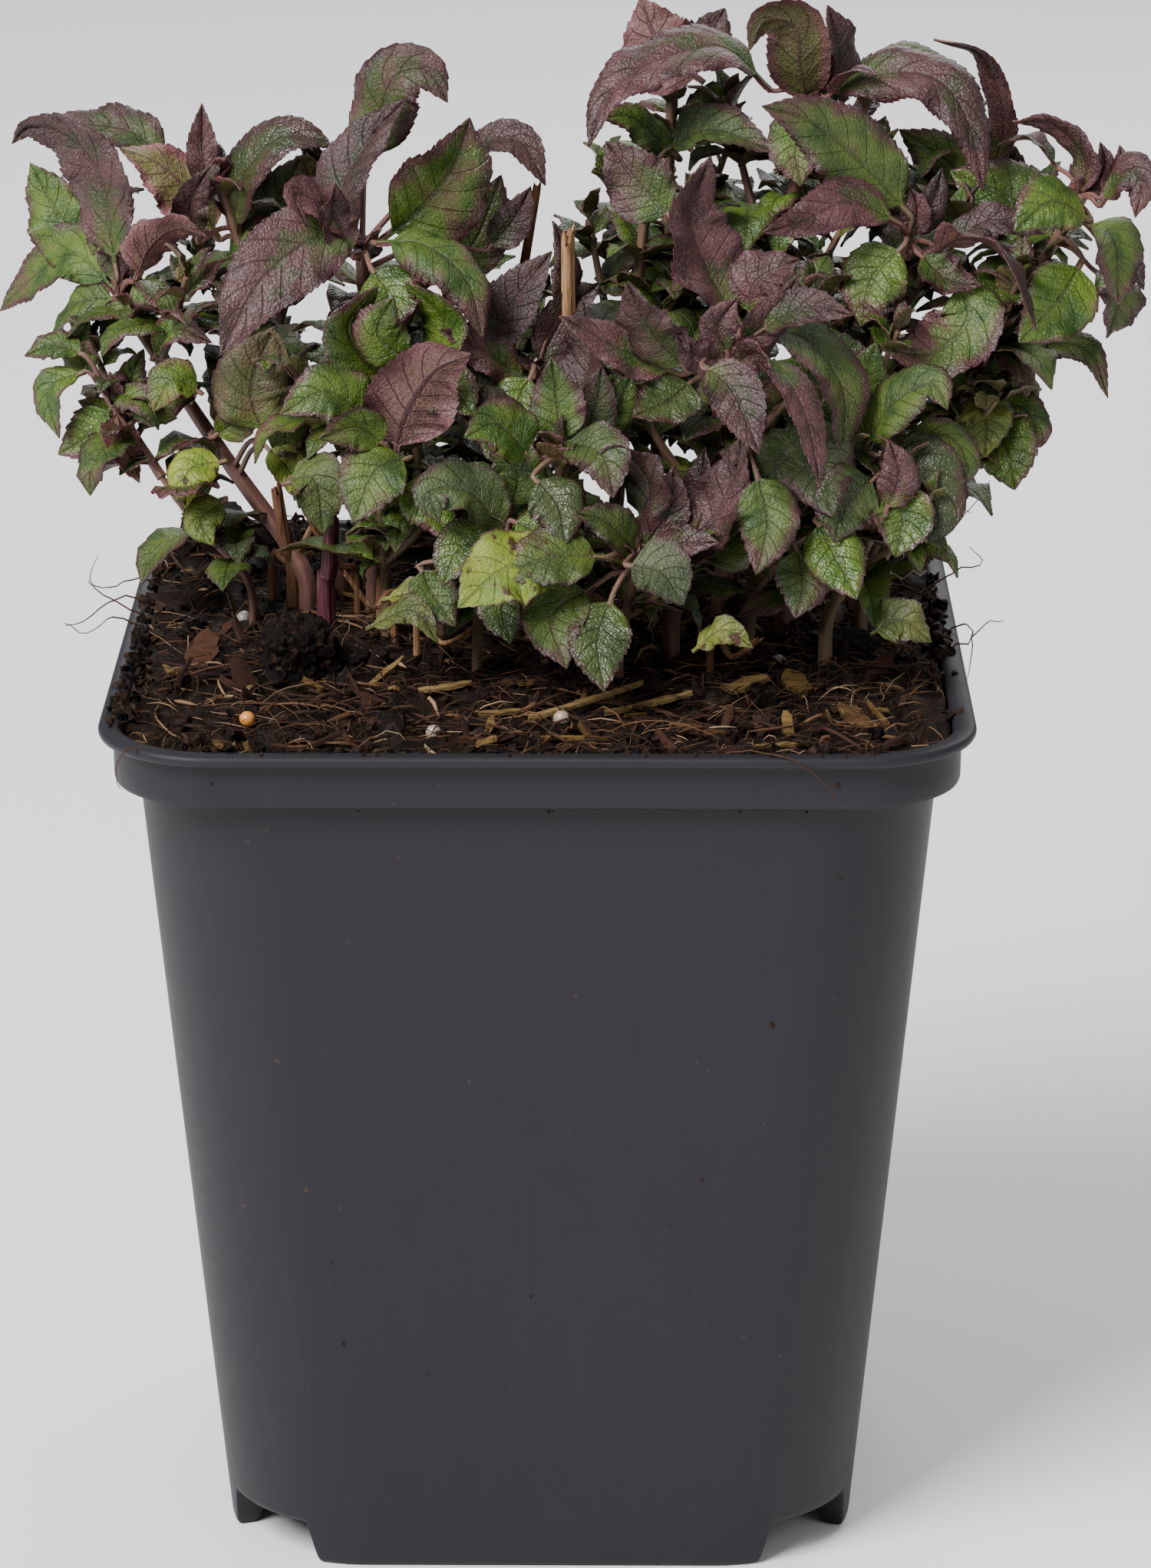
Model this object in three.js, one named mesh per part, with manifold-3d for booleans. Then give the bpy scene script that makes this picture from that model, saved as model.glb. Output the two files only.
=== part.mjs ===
// Bee balm in a square nursery pot. Millimetres, +Z up, the front looks along -Y.
// The origin is on the pot's axis, on the surface that the four feet stand on.
import * as THREE from "three";
import { mergeVertices } from "three/addons/utils/BufferGeometryUtils.js";
import Module from "manifold-3d";

const wasm = await Module();
wasm.setup();

// ---- driving dimensions ----
const RIM_WIDTH = 110; // outside the lip, side to side
const POT_HEIGHT = 116;
const WALL = 1;
const LIP = { half: RIM_WIDTH / 2, corner: 15.5, height: 1.3 };
const COLLAR = { half: 53.1, corner: 13.5, height: 7.6 };
const BODY_TOP = { half: 50.5, corner: 17.5 };
const BODY_FOOT = { half: 41.8, corner: 18.5 };
const FOOT = { height: 5.5, topLength: 62, bottomLength: 56, width: 6.5, flat: 2.4 };
const DRAIN = { radius: 3.5, fromAxis: 24 };
const FIT = 0.35; // gap kept between pieces that touch
const CORNER_STEPS = 5;

const SOIL = { level: 112.6, wallGap: FIT, rings: [0.93, 0.8, 0.64, 0.46, 0.26, 0.1] };
const ROOTED = 9; // how deep a stem is set in the soil
const LEAF = { thickness: 0.5, petiole: 0.7, tip: 0.35, rows: 7 };
const UP = new THREE.Vector3(0, 0, 1);
const FRONT = new THREE.Vector3(0, -1, 0);

// Heaps on the soil: centre x, y, height and radius.
const HEAPS = [
  [-25, -10, 5.5, 9],
  [-40, 36, 3.2, 12],
  [46, 30, 4.5, 9],
  [6, 4, 2.5, 26],
];

// Each stem: where it leaves the soil (x, y), its growing tip (x, y, z) and its thickness.
const STEMS = {
  a: { root: [-31, 7], apex: [-56.5, 18, 157], thick: 2.9 },
  b: { root: [-27, 18], apex: [-43, 16, 174.5], thick: 2.2 },
  c: { root: [-22, 6], apex: [-22.8, -4, 168.6], thick: 2.6 },
  d: { root: [-38, 2], apex: [-57, 8, 145], thick: 1.6 },
  e: { root: [24, 12], apex: [35.5, 15, 184], thick: 2.6 },
  f: { root: [32, 2], apex: [47.5, 0, 168.5], thick: 2.4 },
  g: { root: [17, -9], apex: [24.8, -20, 159], thick: 2.4 },
  h: { root: [42, 10], apex: [70, 2, 174], thick: 2.2 },
  i: { root: [37, -12], apex: [45.8, -22, 145], thick: 1.9 },
  j: { root: [10, -18], apex: [12.5, -28, 134], thick: 1.8 },
  k: { root: [1, -12], apex: [3, -24, 148], thick: 1.8 },
  l: { root: [-3, 2], apex: [-0.5, -6, 152.5], thick: 2.0 },
  m: { root: [9, 10], apex: [14, 12, 173.4], thick: 2.2 },
  n: { root: [-10, 18], apex: [-9, 24, 160], thick: 2.0 },
  o: { root: [-13, -4], apex: [-17, -12, 154], thick: 1.9 },
  p: { root: [-20, -6], apex: [-20.5, -16, 141], thick: 1.7 },
  q: { root: [-8, -15], apex: [-4, -27, 136], thick: 1.6 },
  s: { root: [27, -10], apex: [36, -15, 146], thick: 2.0 },
  t: { root: [42, 0], apex: [57, 4, 152], thick: 2.0 },
  w: { root: [34, 22], apex: [57, 25, 178], thick: 2.2 },
  x: { root: [15, 24], apex: [17.3, 24, 185], thick: 2.2 },
  y: { root: [-6, 33], apex: [-14, 38, 148], thick: 1.8 },
  z: { root: [22, 34], apex: [30, 40, 160], thick: 1.8 },
};

// Last year's stems, cut short and dry: root (x, y), cut end (x, y, z) and thickness.
const OLD_STEMS = {
  old_stem_left: { root: [-9, 9], apex: [-0.5, 6, 174], thick: 1.7 },
  old_stem_right: { root: [4, 0], apex: [3.6, -4, 170], thick: 2.6 },
};

// Each leaf: its stem, how far below the growing tip it sits, its tip (x, y, z), its width, how high it
// arches over its chord (share of length), and how far its upper face turns to the front (1) or back (-1).
const LEAVES = {
  leaf_a_left: ["a", 1, [-72.8, 34, 151], 9, 0.1, 0.5],
  leaf_a_curled: ["a", 0, [-69, 26, 176], 8, 0.35, 0.6],
  leaf_a_low: ["a", 6, [-65, 14, 149], 7, 0.2, 0.4],
  leaf_b_upright: ["b", 0, [-43.5, 17, 183], 4, 0, 0.6],
  leaf_b_left: ["b", 3, [-63, 24, 178], 8, 0.2, 0.3],
  leaf_b_right: ["b", 7, [-27, 14, 178], 9, 0.5, 0.4],
  leaf_c_left: ["c", 1, [-40.5, -16, 157], 10.5, 0.1, 0.7],
  leaf_c_right: ["c", 0, [-9, 0, 183.5], 11.5, 0.1, 0.8],
  leaf_c_back: ["c", 1, [-13, 10, 187], 9, 0.15, 0.6],
  leaf_c_down: ["c", 3, [-9, -14, 157], 9, 0.3, 0.5],
  leaf_d_low: ["d", 1, [-62, 5, 138], 6, 0.2, 0.5],
  leaf_e_left: ["e", 1, [8, 4, 180], 9, 0.35, 0.3],
  leaf_e_up: ["e", 0, [37, 23, 196], 7, 0, 0.6],
  leaf_e_right: ["e", 2, [56.5, -5, 176], 8, 0.45, 0],
  leaf_f_large: ["f", 1, [29.5, -4, 186], 12, 0.1, 0.7],
  leaf_f_left: ["f", 3, [29, -13, 172], 8, 0.15, 0.55],
  leaf_f_right: ["f", 2, [63.4, -14, 161], 7, 0.35, 0.4],
  leaf_g_tall: ["g", 0, [22, -11, 179], 12, 0.05, 0.85],
  leaf_g_left: ["g", 4, [11, -30, 167], 9, 0.1, 0.8],
  leaf_g_down: ["g", 3, [35.5, -37, 147], 7, 0.3, 0.6],
  leaf_h_left: ["h", 1, [61, 4, 182.5], 5, 0.45, 0.2],
  leaf_h_right: ["h", 3, [73.4, -31, 168], 6, 0.04, 0.4],
  leaf_h_low: ["h", 12, [73.5, -5, 152], 7, 0.3, 0.4],
  leaf_i_right: ["i", 1, [55, -28, 149], 9, 0.4, 0.7],
  leaf_i_left: ["i", 4, [40, -36, 138], 10, 0.1, 0.8],
  leaf_j_tall: ["j", 0, [18, -27, 151], 9, 0.1, 0.8],
  leaf_k_left: ["k", 2, [-9, -29, 150], 8, 0.1, 0.6],
  leaf_l_left: ["l", 2, [-12, -13, 159], 9, 0.1, 0.5],
  leaf_m_left: ["m", 2, [7, 4, 180], 9, 0.15, 0.7],
  leaf_p_left: ["p", 2, [-32.5, -19, 148], 9, 0.1, 0.8],
  leaf_q_front: ["q", 4, [2, -38, 121], 8, 0.1, 0.8],
  leaf_w_curled: ["w", 1, [52, 21, 190], 6, 0.4, 0.4],
  leaf_x_left: ["x", 0, [11, 23, 195], 8, 0.1, 0.5],
};

// ---- solids ----
function solidFrom(positions, triangles) {
  const geometry = new THREE.BufferGeometry();
  geometry.setAttribute("position", new THREE.Float32BufferAttribute(positions, 3));
  if (triangles) geometry.setIndex(Array.from(triangles));
  const merged = mergeVertices(geometry, 1e-3);
  return new wasm.Manifold(
    new wasm.Mesh({
      numProp: 3,
      vertProperties: merged.attributes.position.array,
      triVerts: new Uint32Array(merged.index.array),
    }),
  );
}

function solidOf(geometry) {
  return solidFrom(geometry.attributes.position.array, geometry.index?.array);
}

function geometryOf(solid) {
  const mesh = solid.getMesh();
  const geometry = new THREE.BufferGeometry();
  geometry.setAttribute("position", new THREE.BufferAttribute(mesh.vertProperties, 3));
  geometry.setIndex(new THREE.BufferAttribute(mesh.triVerts, 1));
  geometry.computeVertexNormals();
  return geometry;
}

// The corner points of a square with rounded corners, anticlockwise.
function roundedSquare(half, corner) {
  const points = [];
  for (let quarter = 0; quarter < 4; quarter++) {
    for (let step = 0; step <= CORNER_STEPS; step++) {
      const angle = ((quarter + step / CORNER_STEPS) * Math.PI) / 2;
      const turn = ((quarter + 0.5) * Math.PI) / 2;
      const centre = half - corner;
      points.push([
        Math.sign(Math.cos(turn)) * centre + corner * Math.cos(angle),
        Math.sign(Math.sin(turn)) * centre + corner * Math.sin(angle),
      ]);
    }
  }
  return points;
}

// A closed solid through rings of equal length, listed from the bottom up, each ring an array of [x, y, z].
function loft(rings) {
  const count = rings[0].length;
  const positions = rings.flat(2);
  const triangles = [];
  for (let ring = 0; ring + 1 < rings.length; ring++) {
    for (let i = 0; i < count; i++) {
      const a = ring * count + i;
      const b = ring * count + ((i + 1) % count);
      triangles.push(a, b, b + count, a, b + count, a + count);
    }
  }
  const middle = (ring) => ring.reduce((sum, p) => sum.map((s, k) => s + p[k] / count), [0, 0, 0]);
  const bottom = count * rings.length;
  positions.push(...middle(rings[0]), ...middle(rings.at(-1)));
  const last = count * (rings.length - 1);
  for (let i = 0; i < count; i++) {
    const next = (i + 1) % count;
    triangles.push(bottom, next, i, bottom + 1, last + i, last + next);
  }
  return solidFrom(positions, triangles);
}

function level(half, corner, z) {
  return roundedSquare(half, corner).map(([x, y]) => [x, y, z]);
}

// ---- pot ----
const bodyTopZ = POT_HEIGHT - COLLAR.height - 0.9;

// The body's outside half width and corner radius at a height, carried on below the floor for the feet.
function bodyAt(z) {
  const share = (z - FOOT.height) / (bodyTopZ - FOOT.height);
  return [
    THREE.MathUtils.lerp(BODY_FOOT.half, BODY_TOP.half, share),
    THREE.MathUtils.lerp(BODY_FOOT.corner, BODY_TOP.corner, share),
  ];
}

// One foot along the front side: a hollow ridge, shrunk by inset for its inside.
function footSolid(inset) {
  const [outer] = bodyAt(0);
  const ends = [
    { z: inset, length: FOOT.bottomLength - 2 * inset, out: outer - inset, wide: FOOT.flat },
    { z: FOOT.height + 2, length: FOOT.topLength - 2 * inset, out: bodyAt(FOOT.height + 2)[0] - inset },
  ];
  ends[1].wide = FOOT.width;
  const rings = ends.map(({ z, length, out, wide }) => {
    const inner = out - Math.max(wide - 2 * inset, 0.6);
    return [
      [-length / 2, -out, z],
      [length / 2, -out, z],
      [length / 2, -inner, z],
      [-length / 2, -inner, z],
    ];
  });
  return loft(rings);
}

function fourFeet(inset) {
  return [0, 90, 180, 270]
    .map((angle) => footSolid(inset).rotate([0, 0, angle]))
    .reduce((all, foot) => all.add(foot));
}

function potOutside() {
  const floorEdge = 1.2; // the floor's edge is rounded by this much
  return loft([
    level(BODY_FOOT.half - floorEdge, BODY_FOOT.corner - floorEdge, FOOT.height),
    level(...bodyAt(FOOT.height + floorEdge), FOOT.height + floorEdge),
    level(...bodyAt(bodyTopZ), bodyTopZ),
    level(COLLAR.half - 0.7, COLLAR.corner - 0.3, bodyTopZ + 0.6),
    level(COLLAR.half - 0.3, COLLAR.corner, bodyTopZ + 1.3),
    level(COLLAR.half, COLLAR.corner, POT_HEIGHT - LIP.height - 0.3),
    level(LIP.half - 0.3, LIP.corner, POT_HEIGHT - LIP.height),
    level(LIP.half, LIP.corner, POT_HEIGHT - 0.4),
    level(LIP.half - 0.4, LIP.corner - 0.3, POT_HEIGHT),
  ]).add(fourFeet(0));
}

function potInside() {
  const floorTop = FOOT.height + WALL;
  const [footHalf, footCorner] = bodyAt(floorTop);
  return loft([
    level(footHalf - WALL - 1, footCorner - WALL - 1, floorTop),
    level(footHalf - WALL, footCorner - WALL, floorTop + 1),
    level(BODY_TOP.half - WALL, BODY_TOP.corner - WALL, bodyTopZ + 0.5),
    level(COLLAR.half - WALL - 0.4, COLLAR.corner - WALL, bodyTopZ + 1.8),
    level(COLLAR.half - WALL, COLLAR.corner - WALL, POT_HEIGHT + 1),
  ]).add(fourFeet(WALL));
}

function drainHoles() {
  const spots = [[0, 0]];
  for (const x of [-DRAIN.fromAxis, DRAIN.fromAxis]) {
    for (const y of [-DRAIN.fromAxis, DRAIN.fromAxis]) spots.push([x, y]);
  }
  return spots
    .map(([x, y]) => {
      const hole = new THREE.CylinderGeometry(DRAIN.radius, DRAIN.radius, 6, 16);
      hole.rotateX(Math.PI / 2).translate(x, y, FOOT.height);
      for (const name of ["normal", "uv"]) hole.deleteAttribute(name);
      return solidOf(hole);
    })
    .reduce((all, hole) => all.add(hole));
}

// ---- soil ----
function soilHeight(x, y) {
  const heaps = HEAPS.reduce(
    (sum, [cx, cy, height, radius]) =>
      sum + height * Math.exp(-((x - cx) ** 2 + (y - cy) ** 2) / (2 * radius ** 2)),
    0,
  );
  const ripple = 0.5 * Math.sin(x * 0.31) * Math.cos(y * 0.37) + 0.3 * Math.sin(x * 0.13 + y * 0.21);
  return SOIL.level + heaps + ripple;
}

function soilSolid() {
  const inset = WALL + SOIL.wallGap;
  const floor = FOOT.height + WALL + SOIL.wallGap;
  const [footHalf, footCorner] = bodyAt(floor);
  const [neckHalf, neckCorner] = [BODY_TOP.half - inset, BODY_TOP.corner - inset];
  const rings = [
    level(footHalf - inset - 1.2, footCorner - inset - 1, floor),
    level(footHalf - inset, footCorner - inset, floor + 1.2),
    level(neckHalf, neckCorner, bodyTopZ + 0.5),
  ];
  const edge = roundedSquare(COLLAR.half - inset - 0.5, COLLAR.corner - inset);
  rings.push(edge.map(([x, y]) => [x, y, bodyTopZ + 3]));
  rings.push(edge.map(([x, y]) => [x, y, Math.min(soilHeight(x, y), POT_HEIGHT - 1.5) - 0.8]));
  for (const share of SOIL.rings) {
    rings.push(edge.map(([x, y]) => [x * share, y * share, soilHeight(x * share, y * share)]));
  }
  return loft(rings);
}

// ---- stems ----
function stemPath({ root: [x, y], apex }) {
  const ground = soilHeight(x, y);
  const tip = new THREE.Vector3(...apex);
  const foot = new THREE.Vector3(x, y, ground);
  const knee = foot.clone().lerp(tip, 0.5);
  const lean = new THREE.Vector3(tip.x - x, tip.y - y, 0);
  knee.addScaledVector(lean, -0.06);
  const first = foot.clone().addScaledVector(lean, 0.05);
  first.z += 7;
  return new THREE.CatmullRomCurve3([
    new THREE.Vector3(x, y, ground - ROOTED),
    foot,
    first,
    knee,
    tip,
  ]);
}

// A square stem with its edges taken off, as stems in the mint family have.
function stemSection(thick) {
  const half = thick / 2;
  const cut = half * 0.45;
  const points = [
    [half, -cut],
    [half, cut],
    [cut, half],
    [-cut, half],
    [-half, cut],
    [-half, -cut],
    [-cut, -half],
    [cut, -half],
  ];
  return new THREE.Shape(points.map(([x, y]) => new THREE.Vector2(x, y)));
}

function stemSolid(stem, grow = 0) {
  const geometry = new THREE.ExtrudeGeometry(stemSection(stem.thick + 2 * grow), {
    steps: 9,
    extrudePath: stemPath(stem),
    bevelEnabled: false,
  });
  for (const name of ["normal", "uv"]) geometry.deleteAttribute(name);
  return solidOf(geometry);
}

// ---- leaves ----
// Half the blade's width at a share u of its length, as a share of its widest half width.
function outline(u) {
  const widest = 0.36 ** 0.6 * 0.64 ** 1.05;
  return (u ** 0.6 * (1 - u) ** 1.05) / widest;
}

function leafFrames([stemName, below, tip, , arch, turn], rows) {
  const stem = STEMS[stemName];
  const path = stemPath(stem);
  const at = 1 - below / path.getLength();
  const along = path.getTangentAt(at);
  const node = path.getPointAt(at);
  const end = new THREE.Vector3(...tip);
  const out = end.clone().sub(node);
  out.addScaledVector(along, -out.dot(along)).normalize();
  const base = node.clone().addScaledVector(out, stem.thick / 2 + FIT);
  if (below === 0) base.copy(node).addScaledVector(along, FIT + 0.3).addScaledVector(out, 0.4);
  const chord = end.clone().sub(base);
  const rise = arch * chord.length();
  const curve = new THREE.CubicBezierCurve3(
    base,
    base.clone().addScaledVector(chord, 0.33).addScaledVector(along, rise),
    base.clone().addScaledVector(chord, 0.72).addScaledVector(along, rise * 0.8),
    end,
  );
  const face = along.clone().multiplyScalar(1 - Math.abs(turn)).addScaledVector(FRONT, turn);
  const frames = [];
  for (let row = 0; row <= rows; row++) {
    const u = row / rows;
    const tangent = curve.getTangent(u);
    const normal = face.clone().addScaledVector(tangent, -face.dot(tangent)).normalize();
    frames.push({ u, point: curve.getPoint(u), normal, side: tangent.clone().cross(normal) });
  }
  return frames;
}

// A thin closed blade. grow widens and thickens it, to cut a neighbour clear of it.
function leafSolid(leaf, grow = 0) {
  const [, , , width] = leaf;
  const across = [-1, -0.5, 0, 0.5, 1];
  const half = LEAF.thickness / 2 + grow;
  const frames = leafFrames(leaf, LEAF.rows);
  const rings = frames.map(({ u, point, normal, side }) => {
    const blade = (width / 2) * outline(u);
    const reach = Math.max(blade, THREE.MathUtils.lerp(LEAF.petiole, LEAF.tip, u)) + grow;
    const place = (v, lift) =>
      point
        .clone()
        .addScaledVector(side, v * reach)
        .addScaledVector(normal, lift + 0.12 * Math.abs(v) * reach)
        .toArray();
    return [
      ...across.map((v) => place(v, -half)),
      ...across.toReversed().map((v) => place(v, half)),
    ];
  });
  const solid = loft(rings);
  return solid.volume() > 0 ? solid : loft(rings.map((ring) => ring.toReversed()));
}

// ---- assembly ----
function largest(solid) {
  return solid.decompose().sort((a, b) => b.volume() - a.volume())[0];
}

const material = {
  pot: new THREE.MeshStandardMaterial({ color: "#3a383d", roughness: 0.55, metalness: 0 }),
  soil: new THREE.MeshStandardMaterial({ color: "#2a1a12", roughness: 0.95, metalness: 0 }),
  stem: new THREE.MeshStandardMaterial({ color: "#7a5148", roughness: 0.7, metalness: 0 }),
  straw: new THREE.MeshStandardMaterial({ color: "#9c7048", roughness: 0.85, metalness: 0 }),
  leaf: new THREE.MeshStandardMaterial({ color: "#4d5c3d", roughness: 0.6, metalness: 0 }),
};

const plant = new THREE.Group();

function addPiece(name, solid, finish) {
  const mesh = new THREE.Mesh(geometryOf(solid), finish);
  mesh.name = name;
  plant.add(mesh);
}

addPiece("pot", potOutside().subtract(potInside()).subtract(drainHoles()), material.pot);

// Pieces already in place, grown by the gap that a later piece keeps to them.
const placed = [];
let soil = soilSolid();

function place(name, solid, clearance, finish) {
  const cut = placed.reduce((rest, other) => rest.subtract(other), solid);
  placed.push(clearance);
  addPiece(name, largest(cut), finish);
}

for (const [name, stem] of Object.entries(STEMS)) {
  const clearance = stemSolid(stem, FIT);
  soil = soil.subtract(clearance);
  place(`stem_${name}`, stemSolid(stem), clearance, material.stem);
}
for (const [name, stem] of Object.entries(OLD_STEMS)) {
  const clearance = stemSolid(stem, FIT);
  soil = soil.subtract(clearance);
  place(name, stemSolid(stem), clearance, material.straw);
}
for (const [name, leaf] of Object.entries(LEAVES)) {
  place(name, leafSolid(leaf), leafSolid(leaf, FIT), material.leaf);
}
addPiece("potting_soil", largest(soil), material.soil);

export default plant;
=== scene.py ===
"""Bee balm in a square nursery pot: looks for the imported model.

Lengths are in millimetres until a piece is made, and +Z is up. The front looks along -Y.
"""
import math
import random

import bmesh
import bpy
import numpy as np
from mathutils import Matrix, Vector, noise


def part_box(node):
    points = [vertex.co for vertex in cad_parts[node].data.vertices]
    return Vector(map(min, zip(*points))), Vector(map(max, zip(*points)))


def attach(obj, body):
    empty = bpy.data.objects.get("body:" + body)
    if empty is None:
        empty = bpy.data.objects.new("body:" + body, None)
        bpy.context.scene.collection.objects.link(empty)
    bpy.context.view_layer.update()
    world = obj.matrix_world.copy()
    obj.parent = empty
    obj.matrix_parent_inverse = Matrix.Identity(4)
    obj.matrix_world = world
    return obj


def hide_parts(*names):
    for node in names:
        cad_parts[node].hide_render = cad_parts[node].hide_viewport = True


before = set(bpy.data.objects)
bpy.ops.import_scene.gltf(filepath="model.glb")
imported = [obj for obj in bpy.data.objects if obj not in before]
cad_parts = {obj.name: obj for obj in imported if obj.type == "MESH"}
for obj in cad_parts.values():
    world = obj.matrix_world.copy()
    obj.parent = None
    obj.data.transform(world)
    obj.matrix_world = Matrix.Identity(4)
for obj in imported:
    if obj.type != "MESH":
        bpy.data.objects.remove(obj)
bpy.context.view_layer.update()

MM = 0.001
EYE = np.array([8.79, -708.4, 327.4])  # where the plant is looked at from
LOOK_DOWN = 18.19
LOOK_LEFT = 0.343
LENS = 128.63

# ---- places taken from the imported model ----
pot_low, pot_high = (np.array(corner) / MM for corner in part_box("pot"))
RIM_HALF = (pot_high[0] - pot_low[0]) / 2
RIM_TOP = pot_high[2]

# ---- the pot's driving dimensions ----
COLLAR_HALF = RIM_HALF - 1.9
BODY_TOP_HALF, BODY_TOP_CORNER, BODY_TOP_Z = RIM_HALF - 4.5, 17.5, RIM_TOP - 8.5
BODY_FOOT_HALF, BODY_FOOT_CORNER, FLOOR_Z = RIM_HALF - 13.2, 18.5, 5.5
FOOT_END, FOOT_END_TOP = 28.8, 30.3
WALL = 1.0
HOLE_RADIUS = 3.5
HOLES = [(0, 0), (-24, -24), (24, -24), (-24, 24), (24, 24)]
POT_CREASE = 38  # degrees
SOIL_LEVEL = 114.0

# ---- the leaves' side veins ----
VEIN_PAIRS, VEIN_LEAN = 7.0, 0.21


# ---------------------------------------------------------------- finishes
class Wire:
    """A number socket that can be used in sums."""

    def __init__(self, finish, socket):
        self.finish, self.socket = finish, socket

    def __add__(self, other):
        return self.finish.sum("ADD", self, other)

    def __mul__(self, other):
        return self.finish.sum("MULTIPLY", self, other)

    def __sub__(self, other):
        return self.finish.sum("SUBTRACT", self, other)

    def __rsub__(self, other):
        return self.finish.sum("SUBTRACT", other, self)

    __radd__, __rmul__ = __add__, __mul__


class Finish:
    """A node material made step by step."""

    def __init__(self, name, **settings):
        self.material = bpy.data.materials.new(name)
        self.material.use_nodes = True
        self.tree = self.material.node_tree
        self.shader = self.tree.nodes["Principled BSDF"]
        for socket, value in settings.items():
            self.shader.inputs[socket.replace("_", " ")].default_value = value

    def node(self, kind, settings=(), inputs=(), output=0):
        made = self.tree.nodes.new(kind)
        for name, value in dict(settings).items():
            if name == "stops":
                ramp = made.color_ramp.elements
                while len(ramp) < len(value):
                    ramp.new(0.5)
                for element, (place, colour) in zip(ramp, value):
                    element.position, element.color = place, (*colour, 1)
            else:
                setattr(made, name, value)
        for name, value in dict(inputs).items():
            self.feed(made.inputs[name], value)
        return Wire(self, made.outputs[output])

    def feed(self, socket, value):
        if isinstance(value, Wire):
            self.tree.links.new(value.socket, socket)
        elif isinstance(value, tuple) and len(value) == 3 and socket.type == "RGBA":
            socket.default_value = (*value, 1)
        else:
            socket.default_value = value

    def sum(self, operation, first, second=0.0):
        return self.node("ShaderNodeMath", {"operation": operation}, {0: first, 1: second})

    def mark(self, name):
        """A number stored on the mesh's points."""
        return self.node("ShaderNodeAttribute", {"attribute_name": name}, output=2)

    def place(self, stretch=(1, 1, 1)):
        """The point on the piece, in metres, stretched."""
        spot = self.node("ShaderNodeTexCoord", output=3)
        return self.node("ShaderNodeMapping", {}, {"Vector": spot, "Scale": stretch})

    def cloud(self, size, detail=2.0, rough=0.55, stretch=(1, 1, 1)):
        """Soft noise from 0 to 1 with features of a size in millimetres."""
        inputs = {"Vector": self.place(stretch), "Scale": 1 / (size * MM), "Detail": detail, "Roughness": rough}
        return self.node("ShaderNodeTexNoise", {}, inputs)

    def cells(self, size, feature):
        """Distance inside cells of a size in millimetres."""
        inputs = {"Vector": self.place(), "Scale": 1 / (size * MM)}
        return self.node("ShaderNodeTexVoronoi", {"feature": feature}, inputs, "Distance")

    def step(self, value, low, high, start=0.0, end=1.0):
        """A soft step as a value goes from low to high."""
        settings = {"interpolation_type": "SMOOTHSTEP"}
        inputs = {"Value": value, "From Min": low, "From Max": high, "To Min": start, "To Max": end}
        return self.node("ShaderNodeMapRange", settings, inputs)

    def blend(self, share, first, second):
        """Two colours mixed by a share."""
        settings = {"data_type": "RGBA", "clamp_factor": True}
        return self.node("ShaderNodeMix", settings, {0: share, 6: first, 7: second}, output=2)

    def relief(self, height, depth, strength=1.0, under=None):
        """A bump of a depth in millimetres."""
        inputs = {"Height": height, "Distance": depth * MM, "Strength": strength}
        if under is not None:
            inputs["Normal"] = under
        return self.node("ShaderNodeBump", {}, inputs)

    def paint(self, **inputs):
        for name, value in inputs.items():
            self.feed(self.shader.inputs[name.replace("_", " ")], value)
        return self.material


def pot_plastic():
    f = Finish("moulded_charcoal_plastic", Specular_IOR_Level=0.20)
    mottle = f.cloud(26, 3)
    streak = f.cloud(3.2, 2, stretch=(1, 1, 0.06))
    speck = f.step(f.cloud(1.6, 1), 0.76, 0.80)
    base = f.blend(mottle, (0.0140, 0.0126, 0.0163), (0.0180, 0.0163, 0.0202))
    base = f.blend(f.step(streak, 0.55, 0.8, 0, 0.25), base, (0.024, 0.022, 0.026))
    base = f.blend(speck * 0.45, base, (0.065, 0.040, 0.028))
    grain = f.cloud(0.55, 2)
    waves = f.cloud(19, 1)
    skin = f.relief(grain, 0.03, 0.35, f.relief(waves, 0.35, 0.25))
    rough = 0.42 + mottle * 0.12 + f.cloud(2.2, 2) * 0.08
    return f.paint(Base_Color=base, Roughness=rough, Normal=skin)


def peat():
    f = Finish("moist_peat", Specular_IOR_Level=0.16)
    lumps, fine = f.cloud(4.5, 4, 0.65), f.cloud(0.7, 3, 0.7)
    base = f.blend(f.step(lumps, 0.3, 0.7), (0.0022, 0.0010, 0.0006), (0.0120, 0.0048, 0.0022))
    base = f.blend(f.step(fine, 0.52, 0.75) * 0.7, base, (0.038, 0.017, 0.009))
    damp = f.step(f.cloud(7, 2), 0.45, 0.62)
    skin = f.relief(fine, 0.5, 0.9, f.relief(f.cloud(1.8, 3), 0.9, 0.7))
    return f.paint(Base_Color=base, Roughness=0.92 - damp * 0.38, Normal=skin)


def crumb():
    f = Finish("peat_crumb", Specular_IOR_Level=0.16)
    chance = f.mark("chance")
    base = f.blend(f.step(chance, 0.3, 1.0), (0.0028, 0.0014, 0.0009), (0.022, 0.009, 0.0045))
    base = f.blend(f.step(f.cloud(0.9, 3), 0.5, 0.7) * 0.6, base, (0.045, 0.021, 0.011))
    return f.paint(Base_Color=base, Roughness=0.9 - chance * 0.25, Normal=f.relief(f.cloud(0.5, 3), 0.3, 0.8))


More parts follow.
